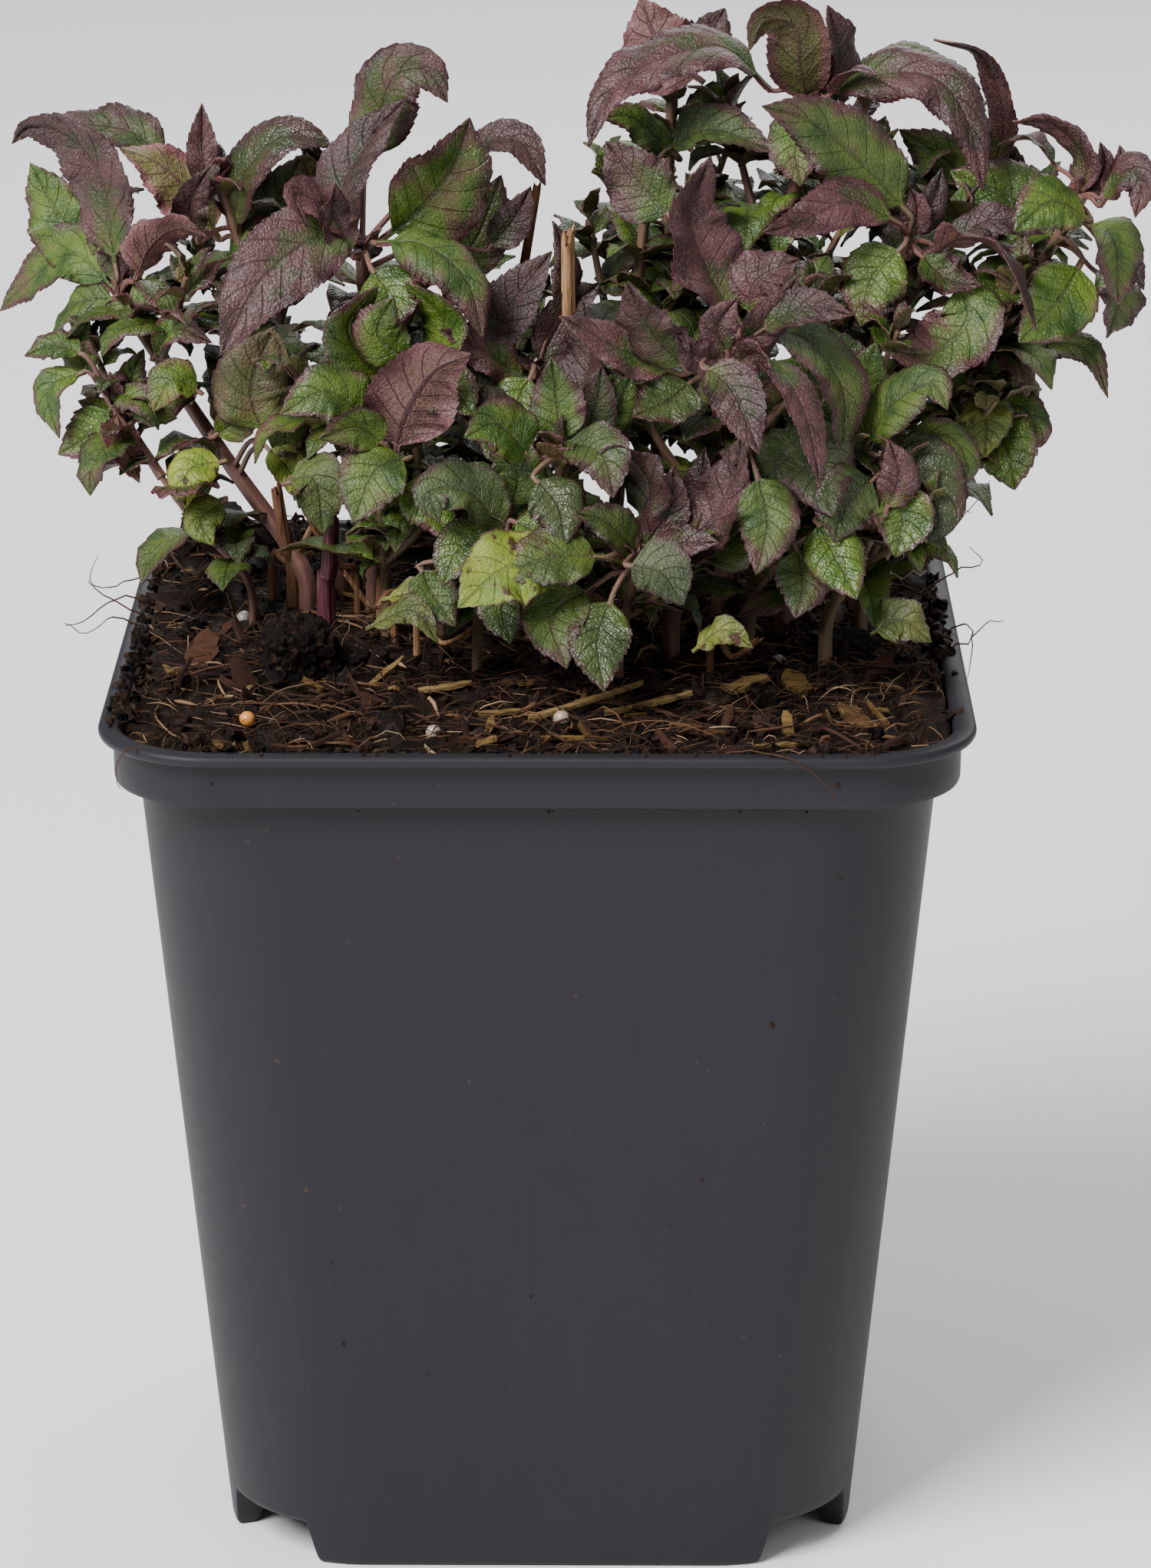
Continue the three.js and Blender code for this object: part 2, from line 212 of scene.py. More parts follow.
def fibre():
    f = Finish("root_fibre", Specular_IOR_Level=0.2)
    settings = {"stops": [(0.0, (0.010, 0.005, 0.003)), (0.5, (0.046, 0.018, 0.008)),
                          (0.85, (0.15, 0.075, 0.034)), (1.0, (0.38, 0.25, 0.14))]}
    base = f.node("ShaderNodeValToRGB", settings, {"Fac": f.mark("chance")})
    base = f.blend(f.cloud(1.1, 2) * 0.5, base, (0.06, 0.03, 0.018))
    return f.paint(Base_Color=base, Roughness=0.75 + f.cloud(0.8, 1) * 0.2)


def bark():
    f = Finish("bark_and_wood", Specular_IOR_Level=0.18)
    settings = {"stops": [(0.0, (0.010, 0.004, 0.003)), (0.4, (0.044, 0.017, 0.009)),
                          (0.7, (0.105, 0.062, 0.016)), (1.0, (0.26, 0.17, 0.070))]}
    base = f.node("ShaderNodeValToRGB", settings, {"Fac": f.mark("chance")})
    lines = f.cloud(0.5, 3, stretch=(0.15, 1, 1))
    base = f.blend(f.step(lines, 0.45, 0.65) * 0.65, base, (0.022, 0.010, 0.006))
    return f.paint(Base_Color=base, Roughness=0.82 + lines * 0.1, Normal=f.relief(lines, 0.25, 0.8))


def bead():
    f = Finish("fertiliser_bead", Coat_Weight=0.3)
    settings = {"stops": [(0.0, (0.33, 0.30, 0.27)), (0.5, (0.30, 0.24, 0.17)), (1.0, (0.55, 0.22, 0.045))]}
    base = f.node("ShaderNodeValToRGB", settings, {"Fac": f.mark("chance")})
    base = f.blend(f.step(f.cloud(0.8, 2), 0.55, 0.75) * 0.5, base, (0.07, 0.035, 0.02))
    return f.paint(Base_Color=base, Roughness=0.25 + f.cloud(0.7, 1) * 0.25)


def living_stem():
    f = Finish("bee_balm_stem", Specular_IOR_Level=0.4)
    blush, rise = f.mark("blush"), f.mark("rise")
    patch = f.cloud(5.0, 2, stretch=(1, 1, 0.35))
    base = f.blend(blush, (0.115, 0.125, 0.045), (0.155, 0.062, 0.052))
    base = f.blend(f.step(patch, 0.45, 0.7) * 0.6, base, (0.085, 0.036, 0.040))
    base = f.blend(f.step(rise, 0.16, 0.0) * 0.7, base, (0.10, 0.045, 0.030))
    base = f.blend(f.step(blush, 1.0, 1.5), base, (0.058, 0.009, 0.018))
    lines = f.cloud(0.35, 2, stretch=(1, 1, 0.08))
    base = f.blend(f.step(lines, 0.5, 0.75) * 0.4, base, (0.26, 0.15, 0.12))
    return f.paint(Base_Color=base, Roughness=0.48 + lines * 0.2, Normal=f.relief(lines, 0.12, 0.6))


def dry_stem():
    f = Finish("dry_cut_stem", Specular_IOR_Level=0.25)
    lines, patch = f.cloud(0.45, 3, stretch=(1, 1, 0.05)), f.cloud(4, 2, stretch=(1, 1, 0.4))
    base = f.blend(f.mark("blush"), (0.36, 0.20, 0.095), (0.115, 0.048, 0.024))
    base = f.blend(f.step(lines, 0.4, 0.7) * 0.7, base, (0.055, 0.024, 0.014))
    base = f.blend(f.step(patch, 0.6, 0.75) * 0.5, base, (0.46, 0.32, 0.19))
    return f.paint(Base_Color=base, Roughness=0.8 + lines * 0.15, Normal=f.relief(lines, 0.3, 0.9))


def leaf_skin():
    """Leaves: green to purple-bronze above, pale with dark veins beneath."""
    f = Finish("bee_balm_leaf", Specular_IOR_Level=0.38)
    along, across, upper = f.mark("along"), f.mark("across"), f.mark("upper")
    purple, age, gloss, chance = f.mark("purple"), f.mark("age"), f.mark("gloss"), f.mark("chance")
    reach = f.sum("ABSOLUTE", across)
    # Side veins run forward from the midrib.
    turn = (along - reach * VEIN_LEAN) * VEIN_PAIRS
    near = f.sum("ABSOLUTE", f.sum("FRACT", turn) - 0.5)
    side_vein = f.step(near, 0.44, 0.5) * f.step(reach, 0.95, 0.70)
    midrib = f.step(reach, 0.10, 0.02)
    net = f.step(f.cells(0.75, "DISTANCE_TO_EDGE"), 0.10, 0.0)
    vein = f.sum("MAXIMUM", side_vein, midrib)
    patch, fine = f.cloud(4.2, 3), f.cloud(0.32, 2)
    margin = f.step(reach, 0.45, 1.0)
    # Upper side.
    green = f.blend(f.step(patch, 0.3, 0.7), (0.020, 0.054, 0.005), (0.092, 0.146, 0.014))
    teal = f.blend(f.step(patch, 0.35, 0.7), (0.036, 0.064, 0.020), (0.088, 0.124, 0.040))
    green = f.blend(f.step(chance, 0.60, 0.85), green, teal)
    bronze = f.blend(f.step(patch, 0.3, 0.7), (0.026, 0.0075, 0.009), (0.085, 0.030, 0.032))
    flush = purple + 0.05 + (patch - 0.5) * 1.7 + margin * 0.5
    flush = flush + f.step(along, 0.3, 1.0) * 0.30 - f.step(along, 0.35, 0.0) * 0.45
    top = f.blend(f.step(flush, 0.35, 1.0), green, bronze)
    lime = f.blend(f.step(patch, 0.35, 0.7), (0.105, 0.160, 0.012), (0.215, 0.250, 0.024))
    top = f.blend(f.step(age, 0.3, 0.8), top, lime)
    blotch = f.step(f.cloud(2.4, 2), 0.58, 0.68) * f.step(age, 0.2, 0.6)
    top = f.blend(blotch, top, (0.050, 0.018, 0.008))
    # Veins on the upper side: darker in their own colour, and painted shade in their sunken grooves; the fine net
    # likewise, faintly.
    top = f.blend(midrib * 0.42 + side_vein * 0.16, top, (0.018, 0.012, 0.008))
    top = f.blend(net * 0.06, top, (0.012, 0.012, 0.005))
    pebble = f.cells(0.30, "SMOOTH_F1")
    # Light specks over the upper side: painted highlights that stand for glints on the fine pebbling.
    top = f.blend(f.step(fine, 0.52, 0.70) * 0.42, top, f.blend(purple, (0.15, 0.20, 0.055), (0.20, 0.115, 0.100)))
    top = f.blend(f.step(reach, 0.90, 0.99) * 0.85, top, (0.042, 0.006, 0.015))
    # Underside.
    pale = f.blend(f.step(purple + margin * 0.6 - 0.35, 0.1, 0.75), (0.120, 0.145, 0.032), (0.245, 0.100, 0.105))
    pale = f.blend(f.step(patch, 0.35, 0.7) * 0.5, pale, (0.115, 0.062, 0.038))
    below = f.blend(vein * 0.9, pale, f.blend(purple, (0.12, 0.10, 0.035), (0.050, 0.006, 0.018)))
    below = f.blend(net * 0.5 + f.step(fine, 0.55, 0.40) * 0.3, below, (0.085, 0.018, 0.026))
    base = f.blend(upper, below, top)
    # Leaves darker by their chance mark: a random tone on most, and on the leaves lettered d, set darkest, painted
    # shade.
    base = f.blend(f.step(chance, 0.1, 1.0) * 0.58, base, (0.012, 0.008, 0.005))
    height = (1 - pebble) * 0.6 + fine * 0.3 - net * 0.12 - vein * 0.6 * (upper * 2.0 - 1)
    rough = 0.50 - gloss * 0.32 + fine * 0.12
    return f.paint(Base_Color=base, Roughness=rough, Normal=f.relief(height, 0.21, 1.0))


def hair():
    f = Finish("fine_hair", Specular_IOR_Level=0.4)
    base = f.blend(f.cloud(3, 1), (0.34, 0.24, 0.24), (0.52, 0.44, 0.42))
    return f.paint(Base_Color=base, Roughness=0.5 + f.cloud(1, 1) * 0.2)


def pale_floor():
    f = Finish("pale_floor")
    base = f.blend(f.cloud(220, 2), (0.86, 0.86, 0.86), (0.88, 0.88, 0.88))
    return f.paint(Base_Color=base, Roughness=0.75 + f.cloud(60, 2) * 0.05)


# ---------------------------------------------------------------- mesh making
class Stock:
    """Gathers closed shapes and makes them into one piece."""

    def __init__(self, *marks):
        self.points, self.faces, self.count = [], [], 0
        self.marks = {mark: [] for mark in marks}

    def add(self, points, faces, **marks):
        points = np.asarray(points, float).reshape(-1, 3)
        self.points.append(points)
        self.faces.extend(np.asarray(some) + self.count for some in faces)
        self.count += len(points)
        for name, store in self.marks.items():
            store.append(np.broadcast_to(marks[name], len(points)))

    def loft(self, rings, **marks):
        """A closed skin over rings of equal length. Each ring runs anticlockwise about the way forward."""
        rows, columns = rings.shape[:2]
        points = np.vstack([rings.reshape(-1, 3), rings[0].mean(0), rings[-1].mean(0)])
        first = np.arange(rows * columns).reshape(rows, columns)
        after = np.roll(first, -1, axis=1)
        sides = np.stack([first[:-1], after[:-1], after[1:], first[1:]], -1).reshape(-1, 4)
        start, end = rows * columns, rows * columns + 1
        caps = np.vstack([
            np.stack([np.full(columns, start), after[0], first[0]], -1),
            np.stack([np.full(columns, end), first[-1], after[-1]], -1),
        ])
        spread = {}
        for name, value in marks.items():
            value = np.broadcast_to(value, (rows, columns))
            spread[name] = np.r_[value.ravel(), value[0].mean(), value[-1].mean()]
        self.add(points, [sides, caps], **spread)

    def make(self, name, finish, slot, sharp=60):
        mesh = bpy.data.meshes.new(name)
        points = np.concatenate(self.points) * MM
        corners = np.concatenate([some.ravel() for some in self.faces])
        sizes = np.concatenate([np.full(len(some), some.shape[1]) for some in self.faces])
        mesh.vertices.add(len(points))
        mesh.vertices.foreach_set("co", points.ravel())
        mesh.loops.add(len(corners))
        mesh.loops.foreach_set("vertex_index", corners)
        mesh.polygons.add(len(sizes))
        mesh.polygons.foreach_set("loop_start", np.cumsum(sizes) - sizes)
        mesh.update(calc_edges=True)
        for mark, store in self.marks.items():
            layer = mesh.attributes.new(mark, "FLOAT", "POINT")
            layer.data.foreach_set("value", np.concatenate(store).astype(np.float32))
        mesh.shade_smooth()
        mesh.set_sharp_from_angle(angle=math.radians(sharp))
        mesh.materials.append(finish)
        piece = bpy.data.objects.new(name, mesh)
        bpy.context.collection.objects.link(piece)
        if slot:
            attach(piece, "root")
        return piece


def smooth_line(points, shares):
    """Points at shares of the length of a smooth line through the given points."""
    points = np.asarray(points, float)
    padded = np.vstack([2 * points[0] - points[1], points, 2 * points[-1] - points[-2]])
    t = np.linspace(0, 1, 20, endpoint=False)[:, None]
    fine = []
    for a, b, c, d in zip(padded, padded[1:], padded[2:], padded[3:]):
        fine.append(0.5 * (2 * b + (c - a) * t + (2 * a - 5 * b + 4 * c - d) * t**2 + (3 * b - a - 3 * c + d) * t**3))
    fine = np.vstack([*fine, points[-1:]])
    way = np.r_[0, np.cumsum(np.linalg.norm(np.diff(fine, axis=0), axis=1))]
    line = np.stack([np.interp(np.asarray(shares) * way[-1], way, fine[:, k]) for k in range(3)], -1)
    return line, way[-1]


def unit(v):
    return v / np.maximum(np.linalg.norm(v, axis=-1, keepdims=True), 1e-9)


def carried_frames(line, hint, start=0):
    """Forward, upper and side directions along a line, carried from one row with no twist."""
    forward = unit(np.gradient(line, axis=0))
    upper = np.zeros_like(line)
    first = hint - forward[start] * (hint @ forward[start])
    if np.linalg.norm(first) < 1e-3:
        first = np.cross(forward[start], [0.3, 0.5, 0.8])
    upper[start] = unit(first)
    for step in (1, -1):
        row = start
        while 0 <= row + step < len(line):
            turned = upper[row] - forward[row + step] * (upper[row] @ forward[row + step])
            upper[row + step] = unit(turned)
            row += step
    return forward, upper, np.cross(forward, upper)


# ---------------------------------------------------------------- pot
def outline_parts(samples):
    """The rounded square is half * A + corner * B at each point. samples are places from a side's middle
    (0) through the end of its straight (1) to the corner's middle (2)."""
    quarter = []
    for q in [-s for s in reversed(samples[1:-1])] + list(samples):
        side, turn = min(abs(q), 1), max(abs(q) - 1, 0) * math.pi / 4
        lateral = math.copysign(1, q) if q else 0
        a = (lateral * side, -1.0)
        b = (lateral * (math.sin(turn) - side), 1 - math.cos(turn))
        quarter.append((a, b))
    parts = []
    for k in range(4):
        c, s = round(math.cos(k * math.pi / 2)), round(math.sin(k * math.pi / 2))
        parts += [[(x * c - y * s, x * s + y * c) for x, y in pair] for pair in quarter]
    parts = np.array(parts)
    return parts[:, 0], parts[:, 1]


# Closer together where the feet end.
POT_SAMPLES = [0, 0.25, 0.5, 0.75, 1.0, 1.1, 1.2, 1.3, *np.arange(1.34, 1.62, 0.02).tolist(),
               1.66, 1.72, 1.8, 1.9, 2.0]
OUT_A, OUT_B = outline_parts(POT_SAMPLES)


def outline(half, corner, z):
    """A rounded square ring; each number may be one for all points or one for each."""
    half, corner, z = (np.broadcast_to(v, len(OUT_A)) for v in (half, corner, z))
    flat = half[:, None] * OUT_A + corner[:, None] * OUT_B
    return np.column_stack([flat, z])


def body_at(z):
    share = (np.asarray(z, float) - FLOOR_Z) / (BODY_TOP_Z - FLOOR_Z)
    return (BODY_FOOT_HALF + (BODY_TOP_HALF - BODY_FOOT_HALF) * share,
            BODY_FOOT_CORNER + (BODY_TOP_CORNER - BODY_FOOT_CORNER) * share)


def soft(value, low, high):
    t = np.clip((value - low) / (high - low), 0, 1)
    return t * t * (3 - 2 * t)


def make_pot():
    ground = outline(*body_at(0.0), 0)
    lateral = np.minimum(abs(ground[:, 0]), abs(ground[:, 1]))
    foot = 1 - soft(lateral, FOOT_END, FOOT_END_TOP)
    rings = [outline(15, 6, FLOOR_Z), outline(30, 12, FLOOR_Z)]
    # Each row: inset from the body's outline, height away from a foot, height at a foot.
    lower = [(7.6, 5.5, 5.5), (6.7, 5.5, 5.5), (6.2, 5.5, 5.1), (5.0, 5.5, 3.5), (3.4, 5.5, 1.2), (3.0, 5.5, 0.5),
             (2.6, 5.5, 0.12), (2.2, 5.5, 0.0), (1.3, 5.5, 0.0), (0.6, 5.62, 0.02), (0.25, 5.85, 0.2), (0.06, 6.2, 0.5),
             (0.0, 6.7, 1.0), (0, 7.2, 2.4), (0, 7.9, 4.2), (0, 8.8, 6.2), (0, 10, 8.6), (0, 12, 11.4), (0, 16, 16)]
    for inset, away, at in lower:
        z = away + (at - away) * foot
        half, corner = body_at(z)
        rings.append(outline(half - inset, corner - inset, z))
    for z in np.linspace(22, BODY_TOP_Z - 0.4, 14):
        rings.append(outline(*body_at(z), z))
    up = RIM_TOP - 116.0
    # Each row: half width, corner radius, height. Up the collar, over the lip and down inside.
    collar = [
        (50.62, 17.4, 107.95), (51.0, 17.0, 108.25), (51.8, 15.6, 108.4), (52.5, 14.4, 108.5), (52.92, 13.7, 108.8),
        (53.08, 13.5, 109.4), (53.1, 13.5, 111.5), (53.12, 13.5, 113.6), (53.2, 13.6, 114.05), (53.6, 14.0, 114.25),
        (54.3, 14.8, 114.4), (54.75, 15.2, 114.6), (54.97, 15.45, 114.95), (55.0, 15.5, 115.3),
        (54.9, 15.4, 115.65), (54.6, 15.1, 115.9), (54.1, 14.6, 116.0), (53.3, 13.8, 116.0), (52.7, 13.2, 115.9),
        (52.3, 12.8, 115.6), (52.12, 12.6, 115.1), (52.08, 12.5, 113.5), (52.0, 12.5, 110.6), (51.6, 12.9, 109.6),
        (50.4, 15.2, 108.6), (49.6, 16.5, 107.6)]
    rings += [outline(half + RIM_HALF - 55, corner, z + up) for half, corner, z in collar]
    for z in np.linspace(BODY_TOP_Z - 6, FLOOR_Z + 3, 8):
        half, corner = body_at(z)
        rings.append(outline(half - WALL, corner - WALL, z))
    half, corner = body_at(FLOOR_Z + 1)
    rings += [outline(half - 1.2, corner - 1.2, FLOOR_Z + 1.6), outline(half - 2, corner - 2, FLOOR_Z + 1.0),
              outline(30, 12, FLOOR_Z + 1.0), outline(15, 6, FLOOR_Z + 1.0)]
    stock = Stock()
    stock.loft(np.array(rings))
    pot = stock.make("nursery_pot", pot_plastic(), "pot_plastic", sharp=POT_CREASE)
    cut_holes(pot)
    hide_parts("pot")


def cut_holes(pot):
    """The drainage holes through the floor, and the mesh made whole again after the cut."""
    holes = Stock()
    around = np.linspace(0, 2 * math.pi, 32, endpoint=False)
    for x, y in HOLES:
        ring = np.column_stack([x + HOLE_RADIUS * np.cos(around), y + HOLE_RADIUS * np.sin(around), np.zeros(32)])
        holes.loft(np.array([ring + [0, 0, FLOOR_Z - 2], ring + [0, 0, FLOOR_Z + 3]]))
    cutter = holes.make("hole_cutter", pot.data.materials[0], "pot_plastic")
    cut = pot.modifiers.new("holes", "BOOLEAN")
    cut.object, cut.operation, cut.solver = cutter, "DIFFERENCE", "EXACT"
    cut_mesh = bpy.data.meshes.new_from_object(pot.evaluated_get(bpy.context.evaluated_depsgraph_get()))
    pot.modifiers.clear()
    pot.data = cut_mesh
    clean = bmesh.new()
    clean.from_mesh(cut_mesh)
    bmesh.ops.remove_doubles(clean, verts=clean.verts, dist=3e-6)
    bmesh.ops.dissolve_degenerate(clean, edges=clean.edges, dist=1e-6)
    bmesh.ops.holes_fill(clean, edges=[edge for edge in clean.edges if edge.is_boundary], sides=8)
    bmesh.ops.recalc_face_normals(clean, faces=clean.faces)
    clean.to_mesh(cut_mesh)
    clean.free()
    bpy.data.objects.remove(cutter)
    pot.data.set_sharp_from_angle(angle=math.radians(POT_CREASE))


# ---------------------------------------------------------------- soil
# Heaps: x, y, height, spread.
HEAPS = [(-25, -5, 3.4, 8), (-41, 33, 6.2, 9), (-45, 16, 2.2, 6), (46, 30, 5.2, 9), (6, 4, 1.6, 26),
         (-42, 6, 1.2, 8), (0, 49, 1.5, 14)]
SOIL_HALF, SOIL_CORNER_FROM = 51, 39  # half width, and where the corner's rounding starts
SMALL_CRUMBS, BIG_CRUMBS, LIP_CRUMBS, FIBRES, CHIPS, SPECKS = 1100, 130, 640, 2750, 290, 26
ROOTY_EVERY, HUMPED_EVERY, THICK_EVERY = 9, 14, 4  # fibres that are long, arched or thick


def soil_height(x, y):
    """The broad shape of the soil's top."""
    z = SOIL_LEVEL + sum(h * math.exp(-((x - a) ** 2 + (y - b) ** 2) / (2 * r * r)) for a, b, h, r in HEAPS)
    z += 1.3 * noise.noise(Vector((x / 10, y / 10, 3.1)))
    return z + 0.5 * float(soft(max(abs(x), y), 46, 51.5))


def soil_detail(x, y):
    """The soil's top with its clods."""
    lumps = noise.fractal(Vector((x / 3.4, y / 3.4, 7.7)), 0.9, 2.1, 4)
    pits = noise.noise(Vector((x / 1.3, y / 1.3, 1.3)))
    clod = noise.voronoi(Vector((x / 4.6, y / 4.6, 0.4)))[0][0]
    return soil_height(x, y) + 1.15 * lumps + 0.6 * pits + 1.3 * (0.4 - clod)


def make_soil():
    stock = Stock()
    inset = WALL + 0.25
    angle_samples = [0, *np.linspace(0.04, 1, 22).tolist(), *np.linspace(1.08, 2, 12).tolist()]
    a, b = outline_parts(angle_samples)
    ring = lambda half, corner: half * a + corner * b
    low_half, low_corner = body_at(8)
    rows = [np.column_stack([ring(h, c), np.full(len(a), z)]) for h, c, z in [
        (low_half - inset - 1.5, low_corner - inset, 6.9), (low_half - inset, low_corner - inset, 8.0),
        (BODY_TOP_HALF - inset, BODY_TOP_CORNER - inset, BODY_TOP_Z), (51.4, 12.2, 110.4),
        (51.8, 12.3, 113.2)]]
    edge = ring(51.85, 12.3)
    for share in [1.0, *(1 - np.linspace(0.008, 0.99, 80) ** 1.12)]:
        flat = edge * share
        z = [soil_detail(x, y) - (0.5 if share == 1 else 0) for x, y in flat]
        rows.append(np.column_stack([flat, z]))
    stock.loft(np.array(rows))
    soil = stock.make("peat_soil", peat(), "potting_soil", sharp=180)
    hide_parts("potting_soil")


def lump_shape(level):
    """The points and faces of a round lump."""
    ball = bmesh.new()
    bmesh.ops.create_icosphere(ball, subdivisions=level, radius=1)
    ball.verts.ensure_lookup_table()
    points = np.array([v.co[:] for v in ball.verts])
    faces = np.array([[v.index for v in f.verts] for f in ball.faces])
    ball.free()
    return points, faces


SMALL_LUMP, BIG_LUMP = lump_shape(1), lump_shape(2)


def past_corner(x, y):
    """How far a point is beyond the start of the soil's rounded corners."""
    return math.hypot(max(abs(x) - SOIL_CORNER_FROM, 0), max(abs(y) - SOIL_CORNER_FROM, 0))


def scatter_spot(rng, half=49.5):
    while True:
        x, y = rng.uniform(-half, half), rng.uniform(-half, half)
        if past_corner(x, y) < half - SOIL_CORNER_FROM:
            return x, y


def add_lump(stock, shape, centre, size, rng, chance, rough=0.3):
    points, faces = shape
    seed = Vector((rng.uniform(0, 90), rng.uniform(0, 90), rng.uniform(0, 90)))
    swell = np.array([1 + rough * noise.noise(Vector(p) * 1.3 + seed) * 2 for p in points])
    turn = np.linalg.qr(np.array([[rng.gauss(0, 1) for _ in range(3)] for _ in range(3)]))[0]
    if np.linalg.det(turn) < 0:
        turn[:, 0] *= -1
    shaped = points * swell[:, None] * np.asarray(size) @ turn.T
    stock.add(shaped + centre, [faces], chance=chance)


def add_clod(stock, centre, size, turn, rng, level):
    """A blocky broken lump of peat."""
    points, faces = lump_shape(level)
    seed = Vector((rng.uniform(0, 90), rng.uniform(0, 90), rng.uniform(0, 90)))
    points = points / (np.abs(points) ** 5).sum(1, keepdims=True) ** 0.2
    swell = [1 + 0.22 * noise.noise(Vector(p) * 1.2 + seed)
             + 0.20 * noise.fractal(Vector(p) * 3.6 + seed, 0.8, 2.1, 4) for p in points]
    c, s = math.cos(turn), math.sin(turn)
    turned = np.array([[c, s, 0.1], [-s, c, 0.15], [-0.1, -0.15, 1]])
    stock.add(points * np.array(swell)[:, None] * np.asarray(size) @ turned + centre, [faces], chance=0.08)


def add_tube(stock, line, radius, sides, **marks):
    """A round tube that thins to both ends."""
    line = np.asarray(line, float)
    forward, upper, _ = carried_frames(line, np.array([0.2, 0.1, 1.0]))
    around = np.linspace(0, 2 * math.pi, sides, endpoint=False)
    stock.loft(line[:, None] + round_section(upper, forward, around) * radius[:, None, None], **marks)


# Clods: x, y, lift, half size, turn, fineness.
CLODS = [
    (-31, -18, 3.0, (4.3, 4.0, 4.4), 0.4, 5), (-24, -16, 0.8, (2.2, 2.0, 1.6), 1.2, 4),
    (-45, 34, 0.6, (4.0, 3.4, 2.4), 0.2, 4), (45, 31, 0.5, (3.2, 2.8, 2.0), 0.9, 4),
    (-32, -20, 0.5, (2.8, 2.4, 1.6), 0.3, 4), (40, -8, 0.8, (3.6, 3.0, 2.2), 0.8, 4),
]
# Loose roots that hang over the rim.
LOOSE_ROOTS = [
    [(-49, 20, 114), (-54, 19, 117.5), (-58.5, 16, 117), (-61, 12, 119)],
    [(-50, 14, 114), (-56, 12, 117), (-61.5, 10, 114), (-63.5, 7, 114.5)],
    [(-49.5, 8, 114), (-55, 6, 117.2), (-60, 8, 120), (-59, 10, 123.5)],
    [(-50, 4, 114), (-56, 2, 117), (-60, -2, 116), (-62.5, -3, 118)],
    [(49, 22, 114), (54, 24, 122), (58, 22, 127), (60, 20, 131)],
    [(49, 18, 114), (55, 17, 119), (59, 15, 121), (57, 12, 124)],
    [(50, -6, 114), (55.5, -8, 116.8), (58, -10, 120), (60, -12, 121)],
    [(50, -2, 114), (56, 0, 117), (57, 2, 113), (56.5, 3, 108.5)],
    [(44, 26, 116), (50, 24, 124), (54, 20, 128), (57.5, 18, 127)],
    [(20, -50, 114.5), (27, -54, 116.6), (33, -55.2, 115), (37, -55.4, 111)],
    [(-47, -49, 114), (-50, -52.5, 116.4), (-51.5, -55.2, 114.8), (-51, -55.6, 112)],
]
# The larger bits of bark and wood: x, y, length, width, thickness, heading, tilt, colour.
LARGE_CHIPS = [
    (-44, -8, 6, 4, 1.0, 1.2, 0.7, 0.42), (6, -30, 17, 1.1, 0.9, 0.55, 0.12, 0.92),
    (14, -31, 12, 1.6, 0.8, 0.42, 0.1, 0.85), (26, -24, 7, 3.4, 1.2, 0.2, 0.25, 0.78),
    (33, -22, 6, 3.2, 1.2, 1.9, 0.2, 0.66), (-12, -24, 7, 1.2, 0.9, 0.2, 0.1, 0.88),
    (30, -46, 6, 1.4, 0.6, 0.1, 0.05, 0.75), (-3, -22, 6, 1.6, 0.9, -0.5, 0.2, 0.6),
    (-6, -40, 5, 1.0, 0.7, 1.4, 0.1, 0.8), (40, -34, 6, 3.0, 0.8, 2.4, 0.3, 0.55),
    (20, -40, 7, 1.8, 0.7, 2.9, 0.1, 0.5), (-38, -22, 6, 3, 0.8, 2.2, 0.9, 0.2),
    (-20, -20, 8, 1.0, 0.7, 0.9, 0.3, 0.83), (44, -14, 6, 2.6, 0.9, 1.0, 0.4, 0.35),
    (4, -42, 10, 0.8, 0.6, -0.3, 0.08, 0.7),
]
# Fertiliser beads: x, y, colour.
BEADS = [(-39.5, 5, 0.1), (-36.5, -37, 1.0), (3, -34, 0.5), (-13, -40, 0.35), (31, -12, 0.2), (-6, 34, 0.6),
         (22, 41, 0.0)]


def scatter_crumbs(crumbs, rng):
    for _ in range(SMALL_CRUMBS):
        x, y = scatter_spot(rng, SOIL_HALF)
        size = abs(rng.gauss(0, 0.45)) + 0.28
        z = soil_detail(x, y) + size * rng.uniform(-0.3, 0.4)
        shape = (size, size * rng.uniform(0.35, 0.8), size * rng.uniform(0.3, 0.7))
        add_lump(crumbs, SMALL_LUMP, (x, y, z), shape, rng, rng.random(), 0.7)
    for _ in range(BIG_CRUMBS):
        x, y = scatter_spot(rng)
        size = rng.uniform(0.9, 2.2)
        z = soil_detail(x, y) + size * rng.uniform(-0.6, 0.2)
        shape = (size, size * rng.uniform(0.5, 0.9), size * 0.6)
        add_lump(crumbs, BIG_LUMP, (x, y, z), shape, rng, rng.random() * 0.8, 0.9)
    # Soil that lies against and on the lip, least along the front.
    for _ in range(LIP_CRUMBS):
        side, along, size = rng.choice([0, 0, 1, 1, 2, 3]), rng.uniform(-46, 46), rng.uniform(0.3, 1.0)
        out = rng.uniform(50.6, 52.4) if side == 3 else rng.uniform(50.8, 53.6)
        x, y = [(-out, along), (out, along), (along, out), (along, -out)][side]
        if noise.noise(Vector((x / 7, y / 7, 5.0))) > -0.08 and past_corner(x, y) < out - 38.5:
            z = 115.0 + rng.uniform(0, 0.9) if out < 52 else RIM_TOP + size * 0.2
            add_lump(crumbs, SMALL_LUMP, (x, y, z), (size, size * 0.8, size * 0.6), rng, rng.random(), 0.7)
    for x, y, lift, size, turn, level in CLODS:
        add_clod(crumbs, (x, y, soil_height(x, y) + lift), size, turn, rng, level)


